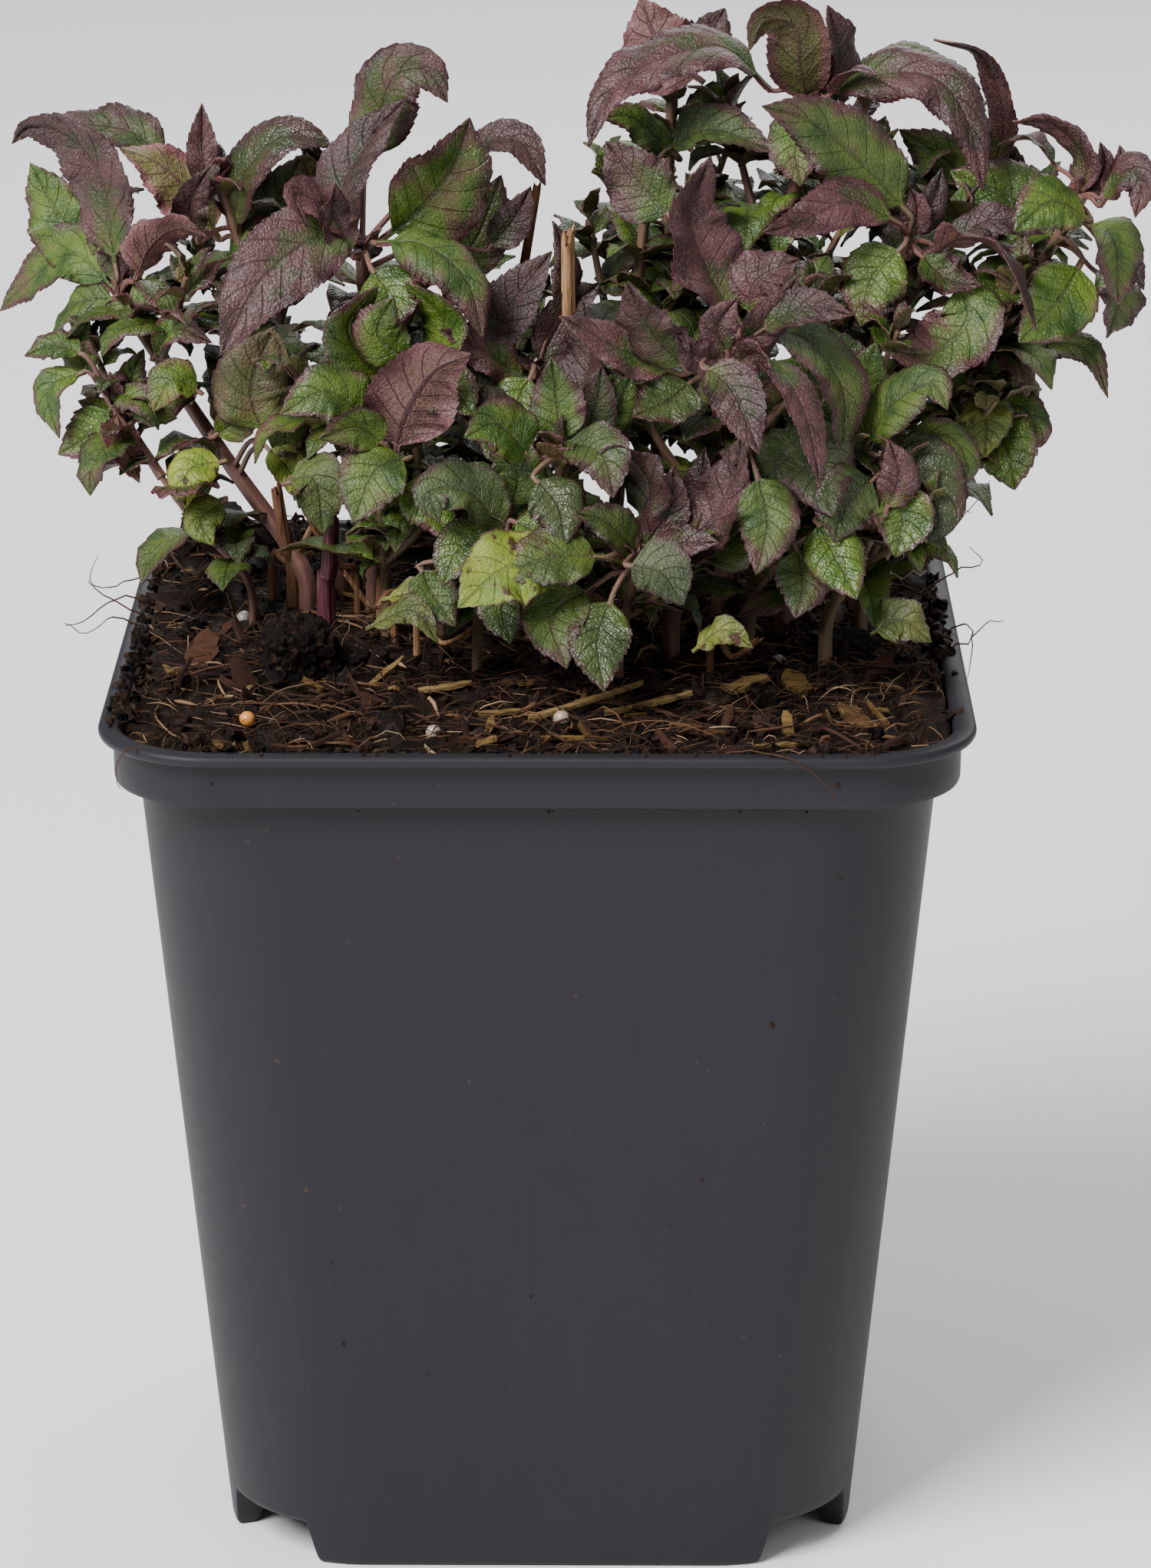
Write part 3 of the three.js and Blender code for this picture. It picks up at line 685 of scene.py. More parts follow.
def scatter_fibres(fibres, rng):
    """A mat of short fibres with longer bent roots in it, and the loose roots over the rim."""
    for n in range(FIBRES):
        x, y = scatter_spot(rng, SOIL_HALF)
        rooty = n % ROOTY_EVERY == 0
        long = rng.uniform(8, 18) if rooty else rng.uniform(1.8, 6.5)
        heading, bend = rng.uniform(0, 2 * math.pi), rng.gauss(0, 0.15)
        hump = rng.uniform(-0.1, 0.9) * (2.4 if n % HUMPED_EVERY == 0 else 1)
        lift, slope = rng.uniform(0.0, 1.1), rng.gauss(0, 0.16)
        base, steps = soil_height(x, y), 7 if rooty else 4
        line = []
        for k in range(steps):
            t = k / (steps - 1)
            ground = soil_height(x, y) if rooty else base + slope * long * (t - 0.5)
            line.append((x, y, ground + lift + hump * math.sin(math.pi * t)))
            heading += bend + rng.gauss(0, 0.12)
            ax, ay = x + long / (steps - 1) * math.cos(heading), y + long / (steps - 1) * math.sin(heading)
            if past_corner(ax, ay) > 13:
                heading += math.pi
                ax, ay = x + 0.3 * math.cos(heading), y + 0.3 * math.sin(heading)
            x, y = ax, ay
        if n % THICK_EVERY:
            thick, tone = rng.uniform(0.04, 0.11), rng.random() ** 1.1
        else:
            thick, tone = rng.uniform(0.12, 0.30), rng.random() ** 2.4
        taper = [0.35, 0.8, 1, 1, 0.9, 0.7, 0.25] if rooty else [0.4, 1, 0.9, 0.3]
        add_tube(fibres, line, thick * np.array(taper), 3, chance=tone)
    for n, way in enumerate(LOOSE_ROOTS):
        line, _ = smooth_line(way, np.linspace(0, 1, 14))
        wobble = np.array([[noise.noise(Vector((i * 0.9, n, k * 7.0))) * 0.55 for k in range(3)] for i in range(14)])
        add_tube(fibres, line + wobble, 0.16 * np.linspace(1, 0.35, 14), 4, chance=0.35 + 0.06 * (n % 6))


def scatter_chips(chips, rng):
    for _ in range(CHIPS):
        x, y = scatter_spot(rng, 48)
        long, wide, thick = rng.uniform(1.6, 6.0), rng.uniform(0.4, 1.9), rng.uniform(0.3, 1.0)
        heading, tilt = rng.uniform(0, 6.28), rng.gauss(0, 0.45)
        add_chip(chips, x, y, long, wide, thick, heading, tilt, rng, rng.random() ** 2.6)
    for x, y, long, wide, thick, heading, tilt, chance in LARGE_CHIPS:
        add_chip(chips, x, y, long, wide, thick, heading, tilt, rng, chance)


def scatter_specks(crumbs, rng):
    """Specks that cling to the lip and the collar."""
    for _ in range(SPECKS):
        side = rng.uniform(-44, 44)
        z = rng.choice([RIM_TOP + 0.05, RIM_TOP - 4, RIM_TOP - 8.3, rng.uniform(20, 100)])
        out = 54.2 if z > RIM_TOP else COLLAR_HALF if z > RIM_TOP - 7 else body_at(z)[0]
        size = rng.uniform(0.12, 0.3)
        shape = (size * rng.uniform(1, 2.4), size, size)
        add_lump(crumbs, SMALL_LUMP, (side, -out, z), shape, rng, rng.uniform(0.5, 1), 0.4)


def make_soil_bits():
    rng = random.Random(41)
    crumbs, fibres, chips, beads = Stock("chance"), Stock("chance"), Stock("chance"), Stock("chance")
    scatter_crumbs(crumbs, rng)
    scatter_fibres(fibres, rng)
    scatter_chips(chips, rng)
    for x, y, chance in BEADS:
        size = rng.uniform(1.0, 1.2)
        add_lump(beads, BIG_LUMP, (x, y, soil_height(x, y) + 0.45), (size, size, size * 0.95), rng, chance, 0.05)
    scatter_specks(crumbs, rng)
    crumbs.make("peat_crumbs", crumb(), "potting_soil", sharp=38)
    fibres.make("root_fibres", fibre(), "potting_soil", sharp=180)
    chips.make("bark_chips", bark(), "potting_soil", sharp=30)
    beads.make("fertiliser_beads", bead(), "potting_soil", sharp=180)


CHIP_SECTION = [(-1, -0.6), (1, -0.8), (1.05, 0.5), (0.4, 1), (-0.4, 0.85), (-1.05, 0.6)]


def add_chip(stock, x, y, long, wide, thick, heading, tilt, rng, chance):
    """A flat splinter of bark or wood with torn ends."""
    rows = []
    for t in np.linspace(-0.5, 0.5, 7):
        w = wide / 2 * (1 - abs(2 * t) ** 3 * 0.7) * rng.uniform(0.82, 1.1)
        h = thick / 2 * rng.uniform(0.7, 1.15)
        skew = rng.gauss(0, 0.06 * wide)
        rows.append([(t * long + rng.gauss(0, 0.12) * (abs(t) > 0.4), s * w + skew,
                      u * h + 0.12 * long * t * t * tilt) for s, u in CHIP_SECTION])
    points = np.array(rows)
    c, s, ct, st = math.cos(heading), math.sin(heading), math.cos(tilt), math.sin(tilt)
    px, py = points[..., 0] * ct - points[..., 2] * st, points[..., 1]
    pz = points[..., 0] * st + points[..., 2] * ct
    base = soil_height(x, y) + 0.5 + long * abs(st) * 0.25
    stock.loft(np.stack([x + px * c - py * s, y + px * s + py * c, base + pz], -1), chance=chance)


# ---------------------------------------------------------------- stems
# Root on the soil (x, y), growing tip (x, y, z), thickness, how much of it is bare, how purple it is.
STEMS = {
    "a": ((-31, 7), (-56.5, 18, 157), 2.5, 0.78, 0.9),
    "b": ((-27, 18), (-43, 16, 174.5), 2.2, 0.3, 0.7),
    "c": ((-22, 6), (-22.8, -4, 168.6), 2.6, 0.35, 0.8),
    "d": ((-38, 2), (-57, 8, 145), 1.2, 0.25, 0.8),
    "e": ((24, 12), (35.5, 15, 184), 2.6, 0.25, 0.9),
    "f": ((32, 2), (47.5, 0, 168.5), 2.4, 0.25, 0.7),
    "g": ((17, -9), (24.8, -20, 159), 2.4, 0.25, 0.9),
    "h": ((42, 10), (70, 2, 174), 2.2, 0.35, 0.7),
    "i": ((37, -12), (45.8, -22, 145), 1.9, 0.25, 0.3),
    "j": ((10, -18), (12.5, -28, 134), 1.8, 0.25, 0.6),
    "k": ((1, -12), (3, -24, 148), 1.8, 0.3, 0.5),
    "l": ((-3, 2), (-0.5, -6, 152.5), 2.0, 0.3, 0.9),
    "m": ((9, 10), (14, 12, 173.4), 2.2, 0.3, 0.5),
    "n": ((-10, 18), (-9, 24, 160), 2.0, 0.3, 0.3),
    "o": ((-13, -4), (-17, -12, 154), 1.9, 0.35, 0.3),
    "p": ((-20, -6), (-20.5, -16, 141), 1.7, 0.4, 0.2),
    "q": ((-8, -15), (-4, -27, 136), 1.6, 0.35, 0.1),
    "s": ((27, -10), (36, -15, 146), 2.0, 0.3, 0.2),
    "t": ((42, 0), (57, 4, 152), 2.0, 0.35, 0.3),
    "w": ((34, 22), (57, 25, 178), 2.2, 0.3, 0.8),
    "x": ((15, 24), (17.3, 24, 185), 2.2, 0.3, 0.5),
    "y": ((-6, 33), (-14, 38, 148), 1.8, 0.3, 0.3),
    "z": ((22, 34), (30, 40, 160), 1.8, 0.3, 0.3),
}
# Leafy side shoots: the stem that each grows on, where it starts and where it ends.
SIDE_SHOOTS = [
    ("a", (-46, 13, 146), (-60, 26, 170)), ("a", (-50, 14, 150), (-46, 4, 163)), ("b", (-36, 17, 150), (-30, 22, 174)),
    ("b", (-33, 17, 140), (-46, 30, 160)), ("b", (-36, 17, 148), (-41, 2, 160)), ("c", (-23, 2, 145), (-12, 8, 172)),
    ("c", (-23, 3, 140), (-33, -6, 154)), ("c", (-23, 1, 150), (-15, -10, 164)), ("d", (-50, 6, 135), (-60, 14, 152)),
    ("e", (29, 13, 145), (20, 6, 172)), ("e", (32, 14, 160), (24, 20, 184)), ("e", (31, 14, 150), (42, 8, 174)),
    ("e", (33, 14, 165), (44, 22, 184)), ("f", (42, 1, 150), (34, -6, 164)), ("f", (44, 1, 155), (56, 6, 172)),
    ("f", (38, 2, 140), (46, -12, 160)), ("g", (20, -14, 138), (10, -16, 156)), ("g", (21, -15, 142), (32, -22, 154)),
    ("h", (56, 6, 148), (62, -4, 166)), ("h", (60, 5, 155), (66, 16, 172)), ("h", (52, 7, 140), (64, 12, 154)),
    ("m", (11, 11, 145), (6, 18, 168)), ("m", (12, 11, 150), (22, 10, 168)), ("x", (16, 24, 150), (8, 30, 172)),
    ("x", (16, 24, 155), (26, 30, 178)), ("w", (46, 24, 150), (50, 34, 172)), ("w", (50, 24, 160), (44, 16, 178)),
    ("l", (-2, -1, 130), (-8, -4, 148)), ("l", (-1, -2, 135), (6, 0, 152)), ("k", (2, -16, 130), (-6, -20, 146)),
    ("j", (11, -22, 122), (20, -30, 136)), ("s", (31, -12, 130), (40, -20, 146)), ("t", (50, 2, 135), (60, -4, 150)),
    ("n", (-9, 21, 140), (-18, 28, 160)), ("n", (-9, 20, 138), (0, 24, 156)), ("o", (-15, -8, 132), (-24, -10, 148)),
    ("y", (-10, 35, 130), (-24, 40, 148)), ("y", (-9, 35, 128), (0, 42, 148)), ("z", (26, 37, 138), (38, 42, 158)),
    ("z", (25, 36, 132), (18, 42, 152)), ("p", (-20, -11, 126), (-12, -16, 140)), ("i", (41, -17, 128), (50, -24, 140)),
]
OLD_STEMS = {
    "old_stem_left": ((-9, 9), (-0.5, 6, 174), 1.7, 1.0),
    "old_stem_right": ((4, 0), (3.6, -4, 170), 2.6, 0.1),
}
# Short dry stubs beside the living stems: foot (x, y), top (x, y, z), thickness, colour.
STUBS = [
    ((-28, -6), (-27, -7, 133), 2.6, 1.6), ((-33, 8), (-35, 6, 134), 2.0, 0.9),
    ((-24, 1), (-31, -3, 134), 1.3, 0.9), ((-19, -9), (-25, -12, 127), 1.0, 0.8),
    ((-36, 10), (-30, 6, 129), 1.1, 0.9), ((-16, -12), (-9, -18, 121), 0.9, 0.3),
    ((-21, -4), (-17, -14, 126), 1.2, 0.6), ((22, -16), (28, -24, 122), 1.0, 0.9),
    ((-12, 10), (-20, 0, 136), 1.0, 0.9), ((34, 12), (24, 4, 140), 1.0, 0.9),
]


ROOTED = 6  # how far down in the soil a stem starts
STEM_ROWS, SHOOT_ROWS, OLD_ROWS, STUB_ROWS = 90, 60, 70, 24
HAIRY_FROM = 40  # row
HAIRS_PER_MM = 3


def stem_line(root, apex, rows):
    """A stem's middle line, from down in the soil to its tip."""
    shares = np.linspace(0, 1, rows)
    foot, tip = np.array([*root, soil_height(*root)]), np.array(apex, float)
    lean = (tip - foot) * [1, 1, 0]
    way = [foot - [0, 0, ROOTED], foot, foot + 0.05 * lean + [0, 0, 7], (foot + tip) / 2 - 0.06 * lean, tip]
    return smooth_line(way, shares)[0]


def round_section(upper, forward, around):
    """Directions out from a line, all round it, row by row."""
    return (np.cos(around)[None, :, None] * upper[:, None]
            + np.sin(around)[None, :, None] * np.cross(forward, upper)[:, None])


def add_stem(stock, line, thick, blush, rng, taper=0.55, nodes=(), torn=0.0):
    """A square stem with soft edges, a groove down each side and swollen joints."""
    rows = len(line)
    share = np.linspace(0, 1, rows)
    forward, upper, _ = carried_frames(line, np.array([0.7, -0.7, 0.0]))
    around = np.linspace(0, 2 * math.pi, 16, endpoint=False)
    section = 1 + 0.11 * np.cos(4 * (around - math.pi / 4)) - 0.03 * np.cos(8 * around)
    size = thick / 2 * (1 - (1 - taper) * share)
    size = size * (1 + 0.03 * np.array([noise.noise(Vector((s * 22, thick, 0))) for s in share]))
    for node in nodes:
        size = size * (1 + 0.20 * np.exp(-(((share - node) / 0.012) ** 2)))
    rings = line[:, None] + round_section(upper, forward, around) * (size[:, None] * section[None])[..., None]
    if torn:
        for k, tear in ((-1, 1.0), (-2, 0.55), (-3, 0.25)):
            rings[k] += forward[k] * (np.array([rng.gauss(0, torn) for _ in around]) * tear)[:, None]
    stock.loft(rings, blush=blush, rise=share[:, None])
    return size


def add_hairs(stock, line, size, count, rng, long=0.8):
    """Fine straight hairs that stand out from a stem."""
    forward = unit(np.gradient(line, axis=0))
    for _ in range(count):
        row = rng.randrange(1, len(line) - 1)
        out = unit(np.cross(forward[row], [rng.gauss(0, 1) for _ in range(3)]))
        spot = line[row] + (line[row + 1] - line[row]) * rng.random() + out * size[row] * 0.9
        reach = out * long * rng.uniform(0.5, 1.2) + forward[row] * rng.gauss(0, 0.2)
        side = unit(np.cross(out, forward[row])) * 0.028
        high = np.cross(unit(reach), side)
        points = [spot + side, spot - side * 0.5 + high * 0.87, spot - side * 0.5 - high * 0.87, spot + reach]
        stock.add(points, [np.array([[0, 2, 1], [0, 1, 3], [1, 2, 3], [2, 0, 3]])])


# ---------------------------------------------------------------- leaves
FACES = {"F": (0, -1, 0), "K": (0, 1, 0), "U": (0, 0, 1), "D": (0, 0, -1), "L": (-1, 0, 0), "R": (1, 0, 0)}


def seen(x, z, depth):
    """The point at a depth behind the pot's axis that looks, from the front, to be at x and z on the axis."""
    flat = np.array([x, 0.0, z])
    return EYE + (flat - EYE) * (depth - EYE[1]) / -EYE[1]


def add_leaf(stock, way, width, facing, rng, fold=15, purple=0.5, age=0.0, gloss=0.25, wave=0.08, roll=0.0,
             twist=0.0, fine=True, petiole=0.1, chance=None):
    """A toothed blade on a short stalk, along a smooth line, as one closed thin skin."""
    _, long = smooth_line(way, [0, 1])
    teeth = max(5, round(long * (1 - petiole) / (1.25 if fine else 1.9)))
    steps = (0.0, 0.5, 0.86) if fine else (0.0, 0.8)
    blade_shares = np.array([(k + s) / teeth for k in range(teeth) for s in steps] + [1.0])
    jag = np.array([s for _ in range(teeth) for s in steps] + [0.0])
    shares = np.r_[[0.0, petiole * 0.5], petiole + (1 - petiole) * blade_shares]
    s = np.r_[[-1.0, -0.5], blade_shares]
    jag = np.r_[[0, 0], jag]
    line, _ = smooth_line(way, shares)
    rows = len(shares)
    forward, upper, side = carried_frames(line, facing, start=int(rows * 0.42))
    spin = np.radians(twist) * (shares - 0.4)
    upper, side = (upper * np.cos(spin)[:, None] + side * np.sin(spin)[:, None],
                   side * np.cos(spin)[:, None] - upper * np.sin(spin)[:, None])
    inside = np.clip(s, 0, 1)
    peak = 0.352**0.56 * 0.648**1.03
    form = inside**0.56 * (1 - inside) ** 1.03 / peak
    half = np.maximum(width / 2 * form, 0.06)
    stalk = 0.42 * min(1, long / 16)
    half = np.where(s <= 0.02, stalk, np.maximum(half, stalk * (1 - inside) ** 2))
    columns = 5 if fine else 2
    t = np.linspace(0, 1, columns + 1) ** 0.85
    tooth = 0.31 * min(1.0, width / 7) * np.sqrt(form.clip(0, 1)) * (s > 0)
    shapes = {}
    drift = rng.uniform(0, 9)
    for sign in (-1, 1):
        angle = np.radians(fold) * (0.65 + 0.5 * (1 - form))[:, None] * (1 - 0.55 * t)[None]
        angle = angle - roll * soft(t, 0.45, 1.0)[None] * form[:, None]
        gap = np.diff(t)
        mid = (angle[:, 1:] + angle[:, :-1]) / 2
        y = np.c_[np.zeros(rows), np.cumsum(np.cos(mid) * gap, 1)] * half[:, None]
        z = np.c_[np.zeros(rows), np.cumsum(np.sin(mid) * gap, 1)] * half[:, None]
        blade = (s > 0.02)[:, None]
        ripple = np.array([[noise.noise(Vector((r * long * 0.22, sign * 3.0 + drift, 0.0)))] for r in s])
        z = z + blade * wave * 3.0 * ripple * half[:, None] * (t**1.6)[None]
        swing = np.sin(2 * math.pi * (s[:, None] * 3.2 + sign * 0.21 + drift))
        z = z + blade * wave * 0.8 * swing * half[:, None] * (t**2)[None]
        phase = (s[:, None] - VEIN_LEAN * t[None]) * VEIN_PAIRS
        swell = 0.5 + 0.5 * np.cos(2 * math.pi * phase)
        quilt = 0.055 * half[:, None] * (1 - swell) * np.sin(math.pi * np.clip(t, 0, 1))[None] * blade
        y[:, -1] += tooth * jag
        lead = np.zeros((rows, columns + 1))
        lead[:, -1] = tooth * jag * 0.9
        shapes[sign] = (y, z, quilt, lead)
    edge = (1 - t**3)[None]
    thick_top = 0.05 + 0.10 * edge * np.ones((rows, 1))
    thick_low = 0.05 + 0.10 * edge * np.ones((rows, 1))
    thick_low[:, 0] += 0.20 * np.sqrt(1 - 0.9 * inside)
    thick_top[:, 0] -= 0.14
    thick_top[s <= 0.02] = stalk * 0.5
    thick_low[s <= 0.02] = stalk * 0.9
    rings, across, top_mark = [], [], []
    order = [(-1, k) for k in range(columns, 0, -1)] + [(1, k) for k in range(columns + 1)]
    for lift, mark, run in ((1, 1.0, order), (-1, 0.0, order[::-1])):
        for sign, k in run:
            y, z, quilt, lead = shapes[sign]
            height = z[:, k] + quilt[:, k] + (thick_top[:, k] if lift > 0 else -thick_low[:, k])
            rings.append(line + side * (sign * y[:, k])[:, None] + upper * height[:, None]
                         + forward * lead[:, k][:, None])
            across.append(sign * t[k])
            top_mark.append(mark)
    rings = np.stack(rings, 1)
    stock.loft(rings, along=inside[:, None], across=np.array(across)[None], upper=np.array(top_mark)[None],
               purple=purple, age=age, gloss=gloss, chance=rng.random() * 0.9 if chance is None else chance)


# Leaves by shoot. Each: places (x, z) seen from the front, depth at base and tip, width, facing, fold, purple and
# a few letters: g glossy, y yellowing, s spotted, w wavy, r edges rolled under, c edges curled up, d darkened as
# painted shade.
LEAVES = {
    "a": [
        ([(-54.6, 163.5), (-55.6, 171), (-56.6, 177), (-60.4, 181.8), (-65.2, 183.2), (-67.8, 181)],
         15, 18, 9, "FFL", 22, 0.8, ""),
        ([(-47.5, 178), (-52, 182.4), (-58, 183.6), (-64, 183)], 22, 30, 7, "UF", 10, 0.65, ""),
        ([(-41.4, 168.4), (-44.8, 174), (-49.2, 178.4), (-54, 180.4)], 18, 17, 9, "KL", 10, 0.55, ""),
        ([(-52.5, 163), (-50.5, 167.5), (-47, 170), (-43, 169)], 12, 10, 7, "KU", -8, 0.9, "w"),
        ([(-54.5, 163), (-60, 166.6), (-65.5, 163.5), (-70, 159)], 18, 33, 9, "FU", 8, 0.3, ""),
        ([(-53, 163), (-50.5, 161.5), (-47, 160)], 14, 10, 5, "FU", 12, 0.35, "w"),
        ([(-56, 165), (-61, 170), (-65.5, 178.5)], 24, 30, 10, "F", 6, 0.05, "w"),
        ([(-56, 160), (-60, 160), (-63.5, 155.5)], 18, 22, 6, "FU", 10, 0.1, "w"),
        ([(-55, 163), (-54, 169), (-52.5, 175)], 18, 20, 6, "FL", 35, 0.9, ""),
        ([(-53, 161), (-55, 157), (-56.5, 153)], 16, 14, 5, "FL", 10, 0.2, "w"),
    ],
    "b": [
        ([(-42.6, 174), (-43.3, 180), (-43.3, 186.3)], 14, 16, 4.4, "F", 30, 0.95, ""),
        ([(-39.5, 168), (-38.5, 176), (-34, 181.6), (-29.5, 181.8), (-26.3, 180.3)], 14, 12, 9, "LUF", 10, 0.5, "g"),
        ([(-37, 165), (-34, 173), (-30.5, 179.6)], 18, 20, 9, "F", 12, 0.2, "g"),
        ([(-44, 168), (-45, 173), (-42.5, 178)], 14, 12, 5, "F", 25, 0.95, "w"),
        ([(-42, 172), (-39.5, 175), (-38, 179)], 16, 16, 4, "F", 30, 0.9, ""),
        ([(-41, 165), (-36, 168), (-31, 165)], 16, 12, 8, "FU", 10, 0.3, ""),
    ],
    "c": [
        ([(-21.5, 167.5), (-28, 169), (-36, 163), (-41.6, 153)], -5, -17, 11, "FFU", 10, 0.78, ""),
        ([(-20.5, 168.5), (-15, 173), (-11, 178.5), (-9, 184.5)], -4, 0, 14, "FFR", 22, 0.42, "g"),
        ([(-25, 168), (-25.5, 175), (-21.5, 182), (-17, 187)], -4, 2, 8.5, "FL", 32, 0.95, ""),
        ([(-22.5, 178), (-20.5, 184.5), (-18.5, 189.5), (-14.5, 190.4), (-11.8, 186.4)],
         6, 2, 9.5, "FFL", 12, 0.6, ""),
        ([(-24.5, 168), (-27.5, 172.5), (-31.5, 174.5), (-30.3, 170)], -6, -12, 5.5, "FU", 20, 1.0, "w"),
        ([(-21, 168), (-15, 167.8), (-9.5, 163), (-7.5, 155.5)], -6, -14, 10, "URF", 12, 0.45, "r"),
        ([(-12, 163), (-8, 169), (-5, 177)], 2, 6, 8, "F", 12, 0.45, ""),
        ([(-9, 178), (-6.5, 181.2), (-2.5, 181.3), (0.7, 175.6)], 4, 0, 5.4, "UF", 14, 0.9, ""),
        ([(-7, 167), (-3.5, 171), (-1.2, 175.5)], 2, 2, 5, "F", 24, 0.95, ""),
        ([(-24, 166), (-26.5, 170.5), (-26.5, 176)], -7, -8, 6, "FR", 35, 1.0, "w"),
        ([(-22, 165), (-19.5, 161), (-20, 156)], -8, -14, 8, "FU", 12, 0.25, "g"),
    ],
    "d": [
        ([(-59, 153), (-63, 154.5), (-67, 153)], 8, 10, 4.5, "UF", 10, 0.3, "w"),
        ([(-59, 151), (-64, 148.5), (-62.8, 142)], 8, 6, 5, "FL", 18, 0.15, ""),
        ([(-56, 146), (-59, 142.5), (-63, 139.8)], 8, 8, 7, "FU", 8, 0.15, "g"),
        ([(-57, 145), (-54.5, 141), (-52.5, 136)], 6, 4, 6, "KL", 6, 0.8, ""),
        ([(-57, 147), (-53, 147), (-50.5, 143.5)], 8, 4, 5, "FU", 14, 0.3, "w"),
        ([(-58, 150), (-60, 154), (-58.5, 158)], 10, 12, 5, "F", 15, 0.15, ""),
        ([(-50, 146), (-53, 149.5), (-51.5, 154)], 10, 12, 4.5, "F", 20, 0.3, "w"),
    ],
    "e": [
        ([(29.5, 188), (23, 193.6), (14, 191.5), (8.5, 187), (6.2, 180.6)], 15, 4, 9.5, "UFL", 12, 0.85, ""),
        ([(21, 189), (15.5, 193.5), (12.8, 200)], 19, 24, 11, "K", 6, 0.95, "w"),
        ([(20, 191), (22, 195.5), (23.6, 198.6)], 21, 23, 6, "FU", 10, 0.9, "w"),
        ([(33.4, 185.5), (33.2, 191), (32.4, 196.4), (28.5, 197), (26.6, 193)], 13, 8, 8.5, "K", 8, 0.5, ""),
        ([(35.5, 186), (38.2, 192), (36.6, 199)], 17, 18, 8, "FR", 24, 0.9, "w"),
        ([(37, 186.5), (44, 190.3), (51, 189.3), (55, 183.5), (57, 174.8)], 14, 4, 8.5, "UF", 12, 0.85, ""),
        ([(40, 187.5), (47, 192), (54, 189.6)], 20, 24, 7.5, "FU", 6, 0.12, ""),
        ([(18, 179), (12, 184.3), (7.8, 184.4)], 20, 14, 5.5, "FU", 12, 0.15, ""),
        ([(20, 180), (22, 185.5), (25.5, 189.5)], 20, 22, 7, "F", 10, 0.15, ""),
        ([(16, 180), (22, 183), (30, 180)], 14, 8, 7.5, "FU", 16, 0.30, "c"),
        ([(36, 185), (33, 181), (33.5, 175.5)], 10, 6, 8, "FU", 12, 0.2, ""),
        ([(35, 188), (36, 192.5), (35, 196)], 13, 12, 4, "F", 34, 1.0, ""),
        ([(36.5, 187), (40, 190.5), (43, 190)], 12, 8, 4, "U", 20, 1.0, ""),
    ],
    "w": [
        ([(57.5, 176), (59.4, 184), (56.5, 192.6), (50.2, 194.6)], 22, 16, 5, "LF", 15, 0.95, ""),
        ([(57, 172), (53, 178), (46, 183)], 20, 22, 8, "F", 8, 0.2, ""),
        ([(56, 172), (60, 176), (60, 182)], 22, 22, 6, "F", 20, 0.6, ""),
        ([(54, 170), (49, 174), (43, 174)], 22, 18, 8, "FU", 8, 0.15, "g"),
        ([(57, 174), (62, 173), (66, 168)], 24, 20, 8, "FU", 10, 0.1, "g"),
    ],
    "f": [
        ([(47.8, 171.5), (42, 178), (35, 183.8), (28.4, 186.0)], -1, -6, 10.5, "FFU", 7, 0.22, ""),
        ([(46.5, 170.5), (40, 173.5), (34, 171), (28.5, 169.4)], -3, -14, 6.5, "UFF", 14, 0.85, ""),
        ([(49, 169), (50.5, 173.5), (51.6, 178)], 0, 2, 4.5, "F", 30, 0.95, ""),
        ([(49.5, 166.5), (55, 169), (60.5, 165.6), (64.2, 156.6)], -2, -14, 7, "UR", 16, 0.9, ""),
        ([(52, 167), (58, 171), (65, 169.3)], 0, -2, 5, "UF", 22, 0.9, "w"),
        ([(53, 164), (55.5, 158.5), (51, 153.6), (44, 154.2)], -4, -12, 10, "FU", 8, 0.45, ""),
        ([(47, 168), (43, 163.5), (41.5, 157)], -4, -8, 9, "FU", 10, 0.15, "g"),
        ([(46.5, 169), (48.5, 172.5), (47.5, 175.5)], -1, 0, 4, "F", 35, 1.0, ""),
        ([(48.5, 167), (52.5, 163.5), (57, 162.5)], -3, -6, 6, "FU", 14, 0.7, "w"),
    ],
    "g": [
        ([(26, 157), (21.5, 164.5), (19.3, 172), (21.6, 179)], -18, -12, 12, "FR", 30, 0.9, ""),
        ([(27, 158), (28, 163), (33.5, 166)], -17, -16, 8, "FL", 25, 0.95, "w"),
        ([(17.4, 171), (13, 175.5), (8.4, 181.4)], -2, 2, 9, "F", 14, 0.6, ""),
        ([(20, 171), (20.8, 175.5), (21.9, 179.5)], -1, 2, 4, "F", 30, 0.95, ""),
        ([(19.5, 151), (14.5, 156), (11.3, 163)], -24, -29, 8.5, "FFL", 16, 0.65, ""),
        ([(18, 150.5), (10, 154.3), (2.4, 158.4)], -22, -26, 6.5, "FU", 16, 0.75, ""),
        ([(27, 155), (30.5, 159), (33.4, 164)], -20, -20, 5, "F", 26, 0.9, ""),
        ([(28, 156), (34, 159.5), (40.5, 158.6)], -20, -24, 5.5, "UF", 20, 0.85, ""),
        ([(20.8, 152), (25, 148.5), (28.5, 140)], -27, -35, 7, "FFU", 16, 0.9, ""),
        ([(26.5, 153.5), (32, 150), (35, 143.5), (36.4, 135.6)], -25, -36, 6.5, "FR", 18, 0.85, ""),
        ([(27, 156), (34, 155.5), (39.3, 148.5), (39.2, 139)], -16, -24, 9, "FRU", 12, 0.30, ""),
        ([(24.5, 153), (23, 157), (25.5, 161)], -24, -24, 5, "F", 34, 1.0, ""),
        ([(24, 152.5), (20, 153.5), (17.5, 156)], -25, -28, 4.5, "F", 28, 1.0, "w"),
        ([(25, 152), (28, 153.5), (30, 151.5)], -25, -30, 4.5, "F", 26, 1.0, "w"),
        ([(20, 150), (16.5, 147), (12, 145)], -22, -28, 8, "FU", 12, 0.15, "g"),
    ],
    "h": [
